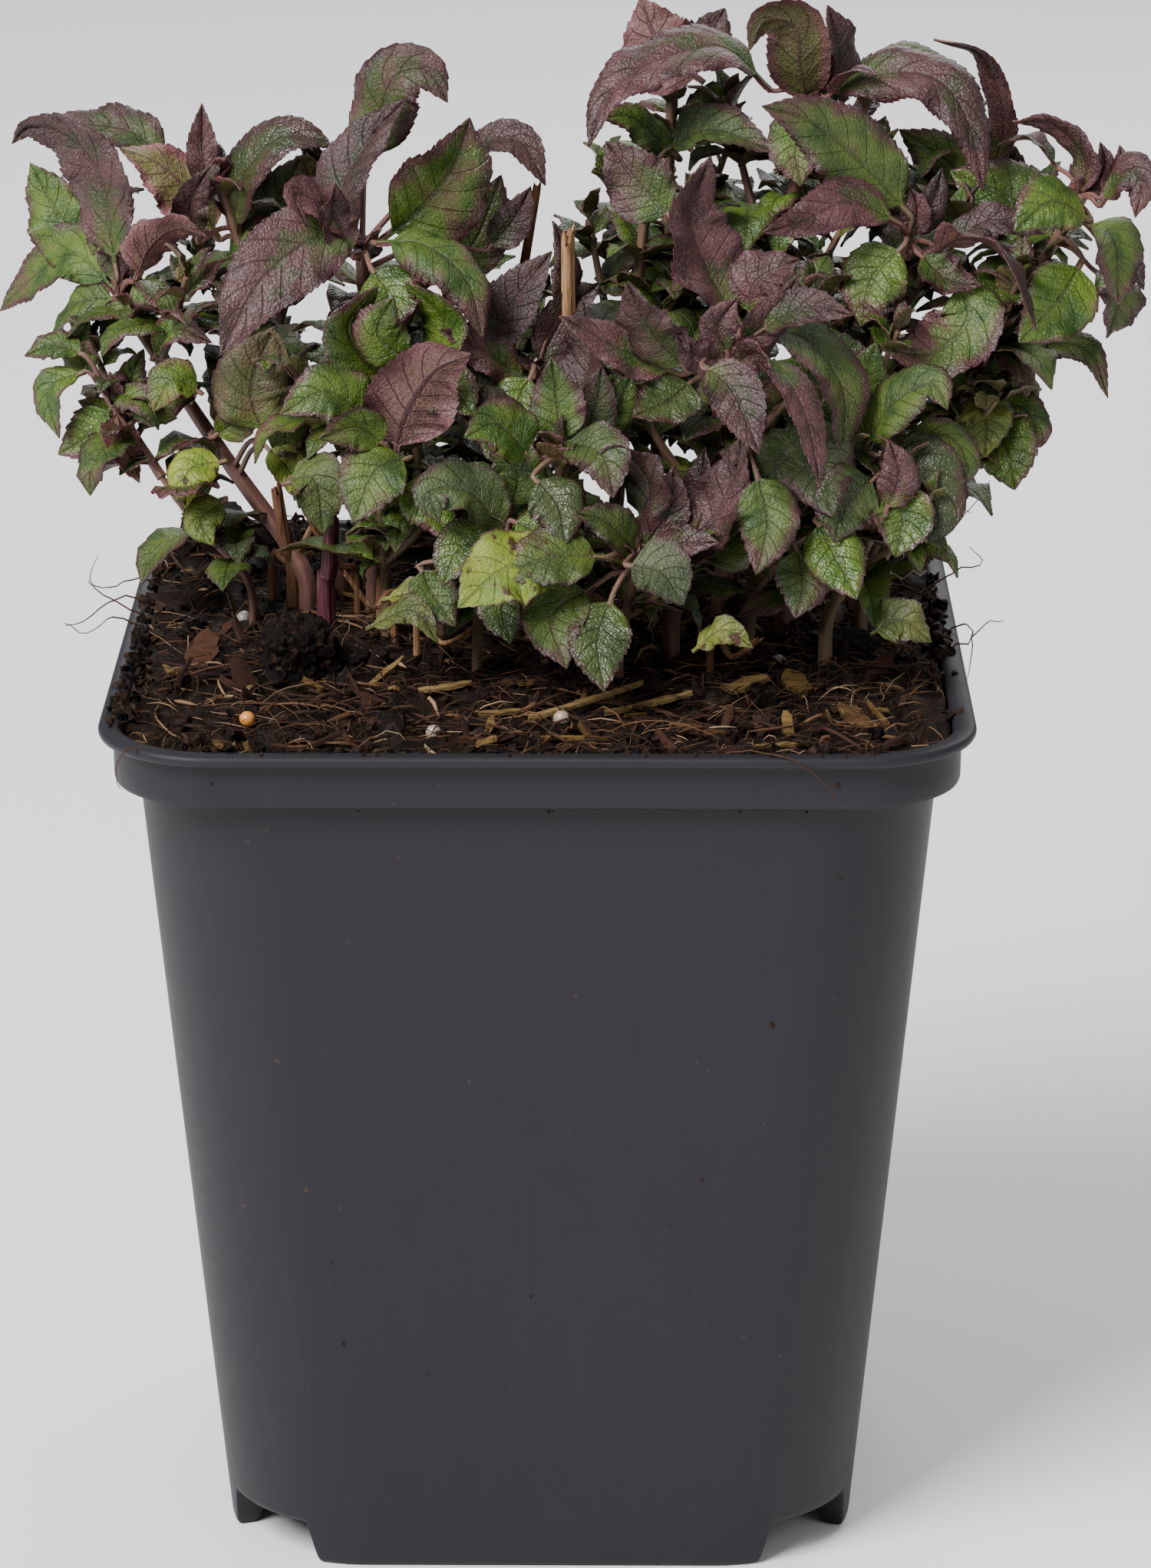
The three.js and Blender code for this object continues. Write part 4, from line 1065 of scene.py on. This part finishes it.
        ([(71, 172), (69.8, 179), (65.5, 183.7), (60.5, 184)], 2, 4, 6, "UL", 15, 0.9, ""),
        ([(66.5, 178), (63, 181.8), (58.6, 181)], 6, 8, 4, "U", 12, 0.8, "w"),
        ([(71.5, 173), (72.4, 178), (71.8, 181.4)], 2, 3, 3.6, "F", 30, 0.95, ""),
        ([(72, 173), (75.2, 177.6), (77.2, 176), (76.6, 171.5)], 0, -5, 5.5, "FU", 16, 0.9, "w"),
        ([(71, 171), (66, 173.6), (61, 169.6)], -2, -8, 8.5, "FU", 8, 0.12, "g"),
        ([(70, 171), (74, 168.4), (74.7, 160)], -2, -6, 9, "FR", 14, 0.25, ""),
        ([(67, 168), (60.5, 173.8), (52.6, 177.6)], 8, 12, 11, "FFU", 8, 0.08, "g"),
        ([(70, 166), (67, 160.5), (62, 155)], -2, -10, 10, "F", 8, 0.10, "g"),
        ([(71, 165), (74.7, 161.8), (73.4, 155.6)], 0, -4, 8, "FR", 12, 0.35, "w"),
        ([(59, 151.5), (65, 154.8), (71, 154), (73.8, 147.6)], 4, -4, 5, "UF", 10, 0.2, ""),
        ([(72.5, 168), (76, 165.4), (78, 162)], -1, -4, 4, "UF", 18, 0.8, "w"),
        ([(72, 174), (74.5, 178), (74.3, 181)], 0, 2, 3.6, "F", 30, 1.0, ""),
        ([(66, 163), (60, 163), (56, 158.5)], 2, -4, 8, "FU", 10, 0.1, "g"),
    ],
    "t": [
        ([(56, 149), (57.8, 145), (58, 139.6)], 0, -6, 7.5, "F", 8, 0.0, "y"),
        ([(58, 146.5), (62.5, 146.3), (64.5, 143), (62.4, 140)], 2, -2, 5, "UF", 12, 0.3, "w"),
        ([(57, 144), (60.5, 141), (62, 135.2)], 0, -6, 9, "F", 8, 0.05, "g"),
        ([(56, 152), (51, 155.5), (46.5, 158.5)], 2, -2, 6, "KU", 10, 0.7, "w"),
        ([(57, 152), (61, 150), (64.5, 152)], 4, 4, 6, "F", 10, 0.2, "g"),
        ([(55, 151), (50, 150), (46, 147)], 2, -4, 8, "FU", 10, 0.1, ""),
    ],
    "i": [
        ([(42.5, 140.5), (45.5, 146.5), (50.8, 149.4), (53, 146)], -18, -24, 9, "LUF", 8, 0.08, ""),
        ([(44, 140), (49.5, 138.2), (51, 132.5), (46, 129.6)], -20, -26, 10, "FU", 8, 0.12, "g"),
        ([(46, 142), (53, 142.5), (55.5, 138.6), (53, 136), (51, 138)], -18, -20, 4.5, "UF", 10, 0.2, ""),
        ([(45, 132), (46.8, 137), (45.4, 142)], -26, -26, 5.5, "F", 26, 0.8, "w"),
        ([(43, 140), (40, 144.5), (38, 150.5)], -16, -14, 8, "F", 10, 0.1, "g"),
        ([(44, 143), (42, 149), (43.5, 155)], -14, -12, 8, "F", 8, 0.1, "g"),
        ([(44, 137), (40, 133.5), (38.5, 128)], -24, -30, 9, "F", 8, 0.1, "g"),
        ([(46, 136), (47.5, 131), (46.5, 126)], -24, -28, 8, "F", 10, 0.1, "g"),
    ],
    "s": [
        ([(36, 131.5), (38.8, 126), (41.6, 120.2)], -26, -34, 8, "FFU", 8, 0.05, "g"),
        ([(33.5, 128), (34.5, 122.5), (33.5, 117.6)], -26, -32, 7, "FU", 10, 0.35, ""),
        ([(28, 138), (29.8, 131), (28.3, 123.6)], -28, -34, 8, "FU", 12, 0.3, ""),
        ([(33, 146), (35.5, 139), (38.3, 131.5)], -18, -30, 11.5, "FFU", 6, 0.2, ""),
        ([(35, 143), (31, 139), (31.5, 133)], -20, -28, 9, "FU", 10, 0.25, ""),
        ([(36, 146), (39, 151), (37.5, 157)], -14, -10, 9, "F", 8, 0.05, "g"),
        ([(35, 145), (30, 148), (28.5, 153)], -14, -10, 8, "F", 8, 0.05, "g"),
    ],
    "j": [
        ([(14.5, 126), (20, 128.5), (24.3, 134), (26.3, 142.5)], -28, -27, 10, "FL", 14, 0.9, "c"),
        ([(20, 125), (26, 129.5), (28, 139)], -26, -24, 9, "FL", 8, 0.2, ""),
        ([(13.5, 124.5), (18.5, 127.8), (23.5, 128)], -29, -33, 5.5, "FU", 20, 0.7, ""),
        ([(12.8, 130), (14.2, 135.8), (10.5, 140.2), (6, 138.4)], -26, -28, 6.5, "LF", 8, 0.7, "w"),
        ([(9.5, 121), (7.6, 114.5), (8.3, 107.4)], -32, -40, 7.8, "FFU", 8, 0.12, "g"),
        ([(7, 122), (1.5, 118), (3.4, 110.6)], -30, -38, 8.5, "FU", 8, 0.2, ""),
        ([(8.5, 126), (1.5, 126), (-6, 123)], -31, -36, 8.5, "FU", 8, 0.2, "s"),
        ([(11, 125), (15.8, 124), (18.8, 119.4)], -32, -36, 8, "FU", 8, 0.1, ""),
        ([(12.5, 128), (16.5, 132), (17.5, 138.5)], -27, -26, 6, "F", 16, 0.85, ""),
        ([(12, 127), (9, 130.5), (4.5, 132)], -29, -33, 6, "FU", 12, 0.2, "g"),
        ([(13, 129), (20, 133.5), (21.5, 141)], -26, -24, 6, "FL", 22, 0.95, ""),
    ],
    "k": [
        ([(3, 141.5), (2.2, 147), (1.4, 153)], -22, -22, 7, "F", 16, 0.35, ""),
        ([(3, 146), (6.3, 152), (5.6, 161)], -14, -10, 7, "FL", 24, 0.85, "d"),
        ([(-1, 139), (-5.5, 143.8), (-10, 142.2)], -24, -29, 8, "FU", 8, 0.1, "g"),
        ([(-1, 137), (2.3, 133), (3.2, 127.6)], -27, -32, 7.5, "FU", 8, 0.0, "g"),
        ([(3, 142), (8, 140), (9.5, 134)], -26, -31, 7.5, "FU", 12, 0.3, ""),
        ([(4, 144), (9.5, 146), (12, 151)], -20, -18, 7, "F", 10, 0.2, "g"),
        ([(3.5, 140), (7, 146), (8, 152)], -20, -20, 6, "F", 14, 0.4, ""),
    ],
    "l": [
        ([(-1.5, 149), (-6.5, 153.2), (-13, 156.6)], -9, -14, 6.5, "FU", 20, 0.75, ""),
        ([(-9, 152), (-5, 158), (1.5, 167)], -6, -2, 8, "FU", 24, 0.9, "d"),
        ([(-2, 148), (-8, 152.5), (-12.5, 158)], -10, -12, 8, "FU", 16, 0.5, "d"),
        ([(0, 152), (3.5, 159), (8, 163)], -4, -2, 6, "F", 22, 0.9, "dw"),
        ([(-1, 150), (-7, 149), (-12, 145)], -10, -16, 7, "FU", 14, 0.6, "d"),
        ([(0, 149), (5, 151.5), (9, 149)], -8, -12, 6, "FU", 16, 0.9, "dw"),
        ([(2, 158), (3.4, 165), (1.6, 171)], -3, 0, 5, "FR", 28, 0.95, "d"),
        ([(-1, 151), (-3, 146), (-1.5, 140)], -12, -18, 8, "FU", 10, 0.1, "g"),
    ],
    "o": [
        ([(-16, 149), (-22, 151.5), (-25, 157), (-21, 162.5)], -12, -14, 9, "FR", 8, 0.08, "g"),
        ([(-14.5, 151), (-12.5, 157.5), (-17.5, 163)], -12, -12, 8, "FL", 10, 0.15, "g"),
        ([(-16.5, 152), (-21, 156), (-19, 161)], -14, -16, 7, "F", 8, 0.1, "g"),
        ([(-19, 139.5), (-17.8, 145), (-14, 151), (-9, 153.4)], -17, -20, 12, "K", 6, 0.9, ""),
        ([(-17, 148), (-12, 148.5), (-8.5, 145)], -14, -18, 8, "FU", 10, 0.2, "g"),
        ([(-17, 147), (-24, 149), (-28, 154)], -12, -12, 8, "F", 8, 0.1, "g"),
    ],
    "p": [
        ([(-21, 143), (-27.5, 148.2), (-34, 145.2)], -16, -20, 8.5, "FU", 12, 0.12, ""),
        ([(-17, 139.5), (-21.5, 137.5), (-24.6, 130.6)], -18, -24, 9, "FU", 6, 0.1, ""),
        ([(-19, 136), (-14.5, 133), (-12, 128)], -18, -22, 7, "FU", 10, 0.1, "g"),
        ([(-20, 141), (-24, 143.5), (-29, 142)], -18, -22, 6, "F", 10, 0.15, ""),
        ([(-16, 125), (-14, 120.5), (-11.3, 116.4)], -24, -28, 6, "FU", 8, 0.2, ""),
        ([(-20, 140), (-18, 144), (-20, 149)], -16, -16, 6, "F", 14, 0.2, "g"),
    ],
    "q": [
        ([(-4, 129), (-9, 134.6), (-14.3, 134.8), (-13.3, 130.6)], -27, -31, 8.5, "FU", 8, 0.0, "c"),
        ([(3, 123.5), (-4, 124.6), (-11, 119)], -32, -38, 10.5, "FU", 6, 0.0, "y"),
        ([(-4, 131), (0, 129), (2.5, 124)], -28, -32, 8, "FU", 8, 0.05, "g"),
        ([(-6, 130), (-10.5, 127), (-13, 122)], -26, -30, 7, "FU", 8, 0.1, "g"),
        ([(-4, 132), (-3, 138), (-7, 142)], -24, -24, 7, "F", 8, 0.1, "g"),
        ([(-2, 125), (-5, 119.5), (-4, 114)], -28, -32, 7, "FU", 8, 0.15, "g"),
    ],
    "low_left": [
        ([(-44, 148), (-47.8, 149.8), (-50.5, 145.6)], 6, 4, 6.5, "FU", 10, 0.3, "s"),
        ([(-36, 142), (-37.5, 149), (-34.5, 157)], 2, 2, 11, "F", 10, 0.75, "s"),
        ([(-50.5, 152.5), (-47.5, 156.6), (-42.6, 154.8)], 10, 6, 4.5, "UF", 14, 0.4, ""),
        ([(-41, 139), (-46, 137.5), (-46.5, 132.5)], 2, -2, 6.5, "FU", 8, 0.0, "y"),
        ([(-41, 134), (-44.5, 131), (-43, 127.5)], 0, -4, 5.5, "FU", 8, 0.0, "y"),
        ([(-36, 141), (-33, 138), (-31.5, 133.6)], 2, -2, 5, "FU", 8, 0.0, "y"),
        ([(-33.5, 136), (-29.5, 136.5), (-28.5, 129)], -6, -10, 7.5, "FU", 8, 0.1, "ys"),
        ([(-43, 142), (-39, 145), (-37, 149)], 4, 2, 5, "F", 12, 0.5, "s"),
    ],
    "soil_litter": [
        ([(43.5, 115.5), (47.5, 117.4), (51.5, 114.4)], -28, -30, 6, "UF", 6, 0.3, "ys"),
        ([(-21, 120), (-15, 121), (-11, 117)], -22, -26, 4, "UF", 20, 0.9, "s"),
        ([(-23, 116), (-17, 118.6), (-13.5, 114)], -26, -30, 4, "UF", 24, 0.6, "ys"),
        ([(20, 113), (24, 116), (28, 113.5)], -34, -36, 4, "UF", 14, 0.8, "s"),
    ],
}

# d sets a leaf's chance mark to 1, which paints it darkest, as shade.
LETTERS = {"g": {"gloss": 0.85}, "y": {"age": 0.85}, "s": {"age": 0.45}, "w": {"wave": 0.20}, "r": {"roll": 1.5},
           "c": {"roll": -1.2}, "d": {"chance": 1.0}}


def facing_of(letters):
    return unit(sum(np.array(FACES[letter], float) for letter in letters))


def grown_leaf(stock, spot, heading, rise, droop, size, rng, **looks):
    """A leaf that leaves its stem at an angle and bends over; it is left out where it would go into the soil."""
    out, angle, here = np.array([math.cos(heading), math.sin(heading), 0]), rise, spot.copy()
    places = [spot.copy()]
    for k in range(4):
        here = here + size / 4 * (out * math.cos(angle) + np.array([0, 0, 1]) * math.sin(angle))
        places.append(here.copy())
        angle -= droop / 3 * (1 + 0.5 * k)
    reach = np.abs(places[-1])
    if places[-1][2] < soil_height(*places[-1][:2]) + 1.0 or reach[1] > 52 or reach[0] > 73 or places[-1][2] > 199:
        return
    width = size * rng.uniform(0.46, 0.66)
    add_leaf(stock, places, width, np.array([0, 0, 1.0]) - 0.15 * out, rng, wave=rng.uniform(0.06, 0.22),
             gloss=rng.uniform(0.1, 0.7), roll=rng.choice([0, 0, 0.7, 1.2, 1.6, -0.8]), twist=rng.gauss(0, 28),
             fine=False, **looks)


def young_leaves(stock, line, bare, purple, rng):
    """Pairs of leaves down a stem, each pair set across the one above it, with small shoots in their axils."""
    long = np.linalg.norm(np.diff(line, axis=0), axis=1).sum()
    turn, below = rng.uniform(0, math.pi), 0.8
    nodes, pair = [], 0
    while below < long * (1 - bare) - 3:
        share = 1 - below / long
        spot = line[min(58, int(share * 59))]
        young = math.exp(-below / 9)
        for half in (0, math.pi):
            if below > 18 and rng.random() < 0.10:
                continue
            heading = turn + half + rng.gauss(0, 0.25)
            size = (4.5 + min(below, 15) * 0.62) * rng.uniform(0.8, 1.15)
            tone = float(np.clip(purple * young * 1.3 + rng.gauss(0, 0.14), 0, 1))
            age = max(0, rng.gauss(0.0, 0.15)) if below < 30 else max(0, rng.gauss(0.15, 0.25))
            grown_leaf(stock, spot, heading, math.radians(60 * young + 16 + rng.gauss(0, 14)),
                       math.radians(rng.uniform(20, 80)) * (1 - 0.6 * young), size, rng,
                       fold=rng.uniform(2, 24) + 14 * young, purple=tone, age=age)
            if below > 9:
                for _ in range(rng.choice([1, 1, 2])):
                    grown_leaf(stock, spot + [0, 0, 0.4], heading + rng.gauss(0, 0.9), math.radians(rng.uniform(5, 70)),
                               math.radians(rng.uniform(10, 80)), rng.uniform(4.5, 9.5), rng, fold=rng.uniform(0, 30),
                               purple=tone * 0.8, age=age * 0.7)
        nodes.append(share)
        below += rng.uniform(1.6, 2.6) if pair < 2 else rng.uniform(3.6, 6.0)
        turn += math.pi / 2 + rng.gauss(0, 0.15)
        pair += 1
    return nodes


LEAF_MARKS = ("along", "across", "upper", "purple", "age", "gloss", "chance")
HOME_OF = {"low_left": "a"}  # leaves listed apart from the stem they grow on


def leaf_way(places, near, far):
    return np.array([seen(x, z, depth) for (x, z), depth in zip(places, np.linspace(near, far, len(places)))])


def add_large_leaf(big, stalk, hairs, everywhere, row, rng):
    """A leaf from the table, joined to the nearest stem, by a stalk where it starts away from it."""
    places, near, far, width, letters, fold, tone, flags = row
    way = leaf_way(places, near, far)
    home = everywhere[np.argmin(np.linalg.norm(everywhere - way[0], axis=1))]
    gap = np.linalg.norm(home - way[0])
    looks = {"gloss": rng.uniform(0.1, 0.4), "wave": rng.uniform(0.07, 0.15), "chance": rng.uniform(0.1, 0.85),
             "roll": rng.choice([0, 0, 0.4, 0.8, -0.5]), "twist": rng.gauss(0, 9)}
    for flag in flags:
        looks.update(LETTERS[flag])
    if gap > 2.5:
        middle = (home + way[0]) / 2 + [0, 0, 0.12 * gap]
        stalk_way, _ = smooth_line([home, middle, way[0], way[0] + 0.25 * (way[1] - way[0])], np.linspace(0, 1, 12))
        add_stem(stalk, stalk_way, 0.75, 0.7 + 0.3 * tone, rng, taper=0.8)
        add_hairs(hairs, stalk_way, np.full(12, 0.45), int(gap), rng, 0.6)
    else:
        way[0] = home
    add_leaf(big, way, width, facing_of(letters), rng, fold=fold, purple=tone, **looks)


def make_shoot(name, everywhere, hairs, leaf, stem_finish):
    """One living stem with its side shoots, its small leaves and the large ones from the table."""
    root, apex, thick, bare, purple = STEMS[name]
    rng = random.Random(f"stem {name}")
    greens = Stock(*LEAF_MARKS)
    line = stem_line(root, apex, SHOOT_ROWS)
    nodes = young_leaves(greens, line, bare, purple, rng)
    sides = []
    for owner, start, tip in SIDE_SHOOTS:
        if owner == name:
            start = line[np.argmin(np.linalg.norm(line - start, axis=1))]
            middle = (start + tip) / 2 + [0, 0, -1.5]
            side, _ = smooth_line([start, middle, tip], np.linspace(0, 1, SHOOT_ROWS))
            young_leaves(greens, side, 0.1, purple * 0.5, rng)
            sides.append(side)
    small = greens.make(f"leaves_{name}_small", leaf, "green_leaf", sharp=75)
    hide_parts(*(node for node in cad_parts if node.startswith(f"leaf_{name}_")))
    line = stem_line(root, apex, STEM_ROWS)
    stalk = Stock("blush", "rise")
    size = add_stem(stalk, line, thick, 0.35 + 0.6 * purple, rng, nodes=nodes)
    for side in sides:
        add_stem(stalk, side[::3], 1.3, 0.3 + 0.5 * purple, rng)
    long = np.linalg.norm(np.diff(line, axis=0), axis=1).sum()
    add_hairs(hairs, line[HAIRY_FROM:], size[HAIRY_FROM:], int(long * HAIRS_PER_MM), rng)
    for shoot, leaves in LEAVES.items():
        if HOME_OF.get(shoot, shoot) == name:
            big = Stock(*LEAF_MARKS)
            for row in leaves:
                add_large_leaf(big, stalk, hairs, everywhere, row, rng)
            big.make(f"leaves_{shoot}_large", leaf, "purple_leaf" if purple > 0.5 else "green_leaf", sharp=75)
    piece = stalk.make(f"stem_{name}_living", stem_finish, "green_stem", sharp=50)
    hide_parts(f"stem_{name}")


def make_litter(leaf):
    litter, rng = Stock(*LEAF_MARKS), random.Random("litter")
    for places, near, far, width, letters, fold, tone, _ in LEAVES["soil_litter"]:
        way = leaf_way(places, near, far)
        add_leaf(litter, way, width, facing_of(letters), rng, fold=fold, purple=tone, age=0.6, wave=0.25)
    litter.make("leaf_litter", leaf, "green_leaf", sharp=75)


def make_old_stems(stem_finish):
    dry = dry_stem()
    for name, (root, apex, thick, blush) in OLD_STEMS.items():
        stock = Stock("blush", "rise")
        line = stem_line(root, apex, OLD_ROWS)
        add_stem(stock, line, thick, blush, random.Random(name), taper=0.62, nodes=(0.35, 0.72), torn=1.1)
        piece = stock.make(f"{name}_dry", dry, "dry_stem", sharp=40)
        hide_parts(name)
    stubs, fresh = Stock("blush", "rise"), Stock("blush", "rise")
    for root, apex, thick, blush in STUBS:
        stock = fresh if blush > 1 else stubs
        line = stem_line(root, apex, STUB_ROWS)
        add_stem(stock, line, thick, blush, random.Random(thick), taper=0.7, nodes=(0.6,), torn=0.7)
    stubs.make("stem_stubs", dry, "dry_stem", sharp=40)
    fresh.make("stem_stub_fresh", stem_finish, "green_stem", sharp=40)


def make_plant():
    leaf, stem_finish, hair_finish = leaf_skin(), living_stem(), hair()
    hairs = Stock()
    everywhere = np.vstack([stem_line(root, apex, STEM_ROWS) for root, apex, *_ in STEMS.values()])
    for name in STEMS:
        make_shoot(name, everywhere, hairs, leaf, stem_finish)
    make_litter(leaf)
    hairs.make("stem_hairs", hair_finish, "green_stem", sharp=180)
    make_old_stems(stem_finish)


# ---------------------------------------------------------------- room
def make_room():
    floor = Stock()
    floor.loft(np.array([[(-4000, -2500, z), (4000, -2500, z), (4000, 6000, z), (-4000, 6000, z)]
                         for z in (-12, -0.05)]))
    floor.make("floor", pale_floor(), None)


def add_light(name, place, target, size, power, colour=(1, 1, 1)):
    lamp = bpy.data.lights.new(name, "AREA")
    lamp.shape, lamp.size, lamp.size_y = "RECTANGLE", *size
    lamp.energy, lamp.color = power, colour
    holder = bpy.data.objects.new(name, lamp)
    holder.location = place
    holder.rotation_euler = (Vector(target) - Vector(place)).to_track_quat("-Z", "Y").to_euler()
    bpy.context.collection.objects.link(holder)


def make_camera():
    camera = bpy.data.cameras.new("camera")
    camera.lens, camera.sensor_width, camera.sensor_fit = LENS, 36, "AUTO"
    camera.clip_start, camera.clip_end = 0.05, 20
    holder = bpy.data.objects.new("camera", camera)
    holder.location = EYE * MM
    holder.rotation_euler = (math.radians(90 - LOOK_DOWN), 0, math.radians(LOOK_LEFT))
    bpy.context.collection.objects.link(holder)
    bpy.context.scene.camera = holder


make_camera()
make_pot()
make_soil()
make_soil_bits()
make_plant()
make_room()

world = bpy.data.worlds.new("soft_room")
world.use_nodes = True
world.node_tree.nodes["Background"].inputs["Color"].default_value = (0.97, 0.98, 1.0, 1)
world.node_tree.nodes["Background"].inputs["Strength"].default_value = 0.40
bpy.context.scene.world = world
add_light("key", (-0.65, -0.70, 1.05), (0, 0, 0.13), (0.7, 0.7), 38)
add_light("fill", (0.9, -0.7, 0.6), (0, 0, 0.1), (0.6, 0.8), 2)
add_light("back", (0.3, 1.0, 0.9), (0, 0, 0.15), (1.2, 0.6), 12)
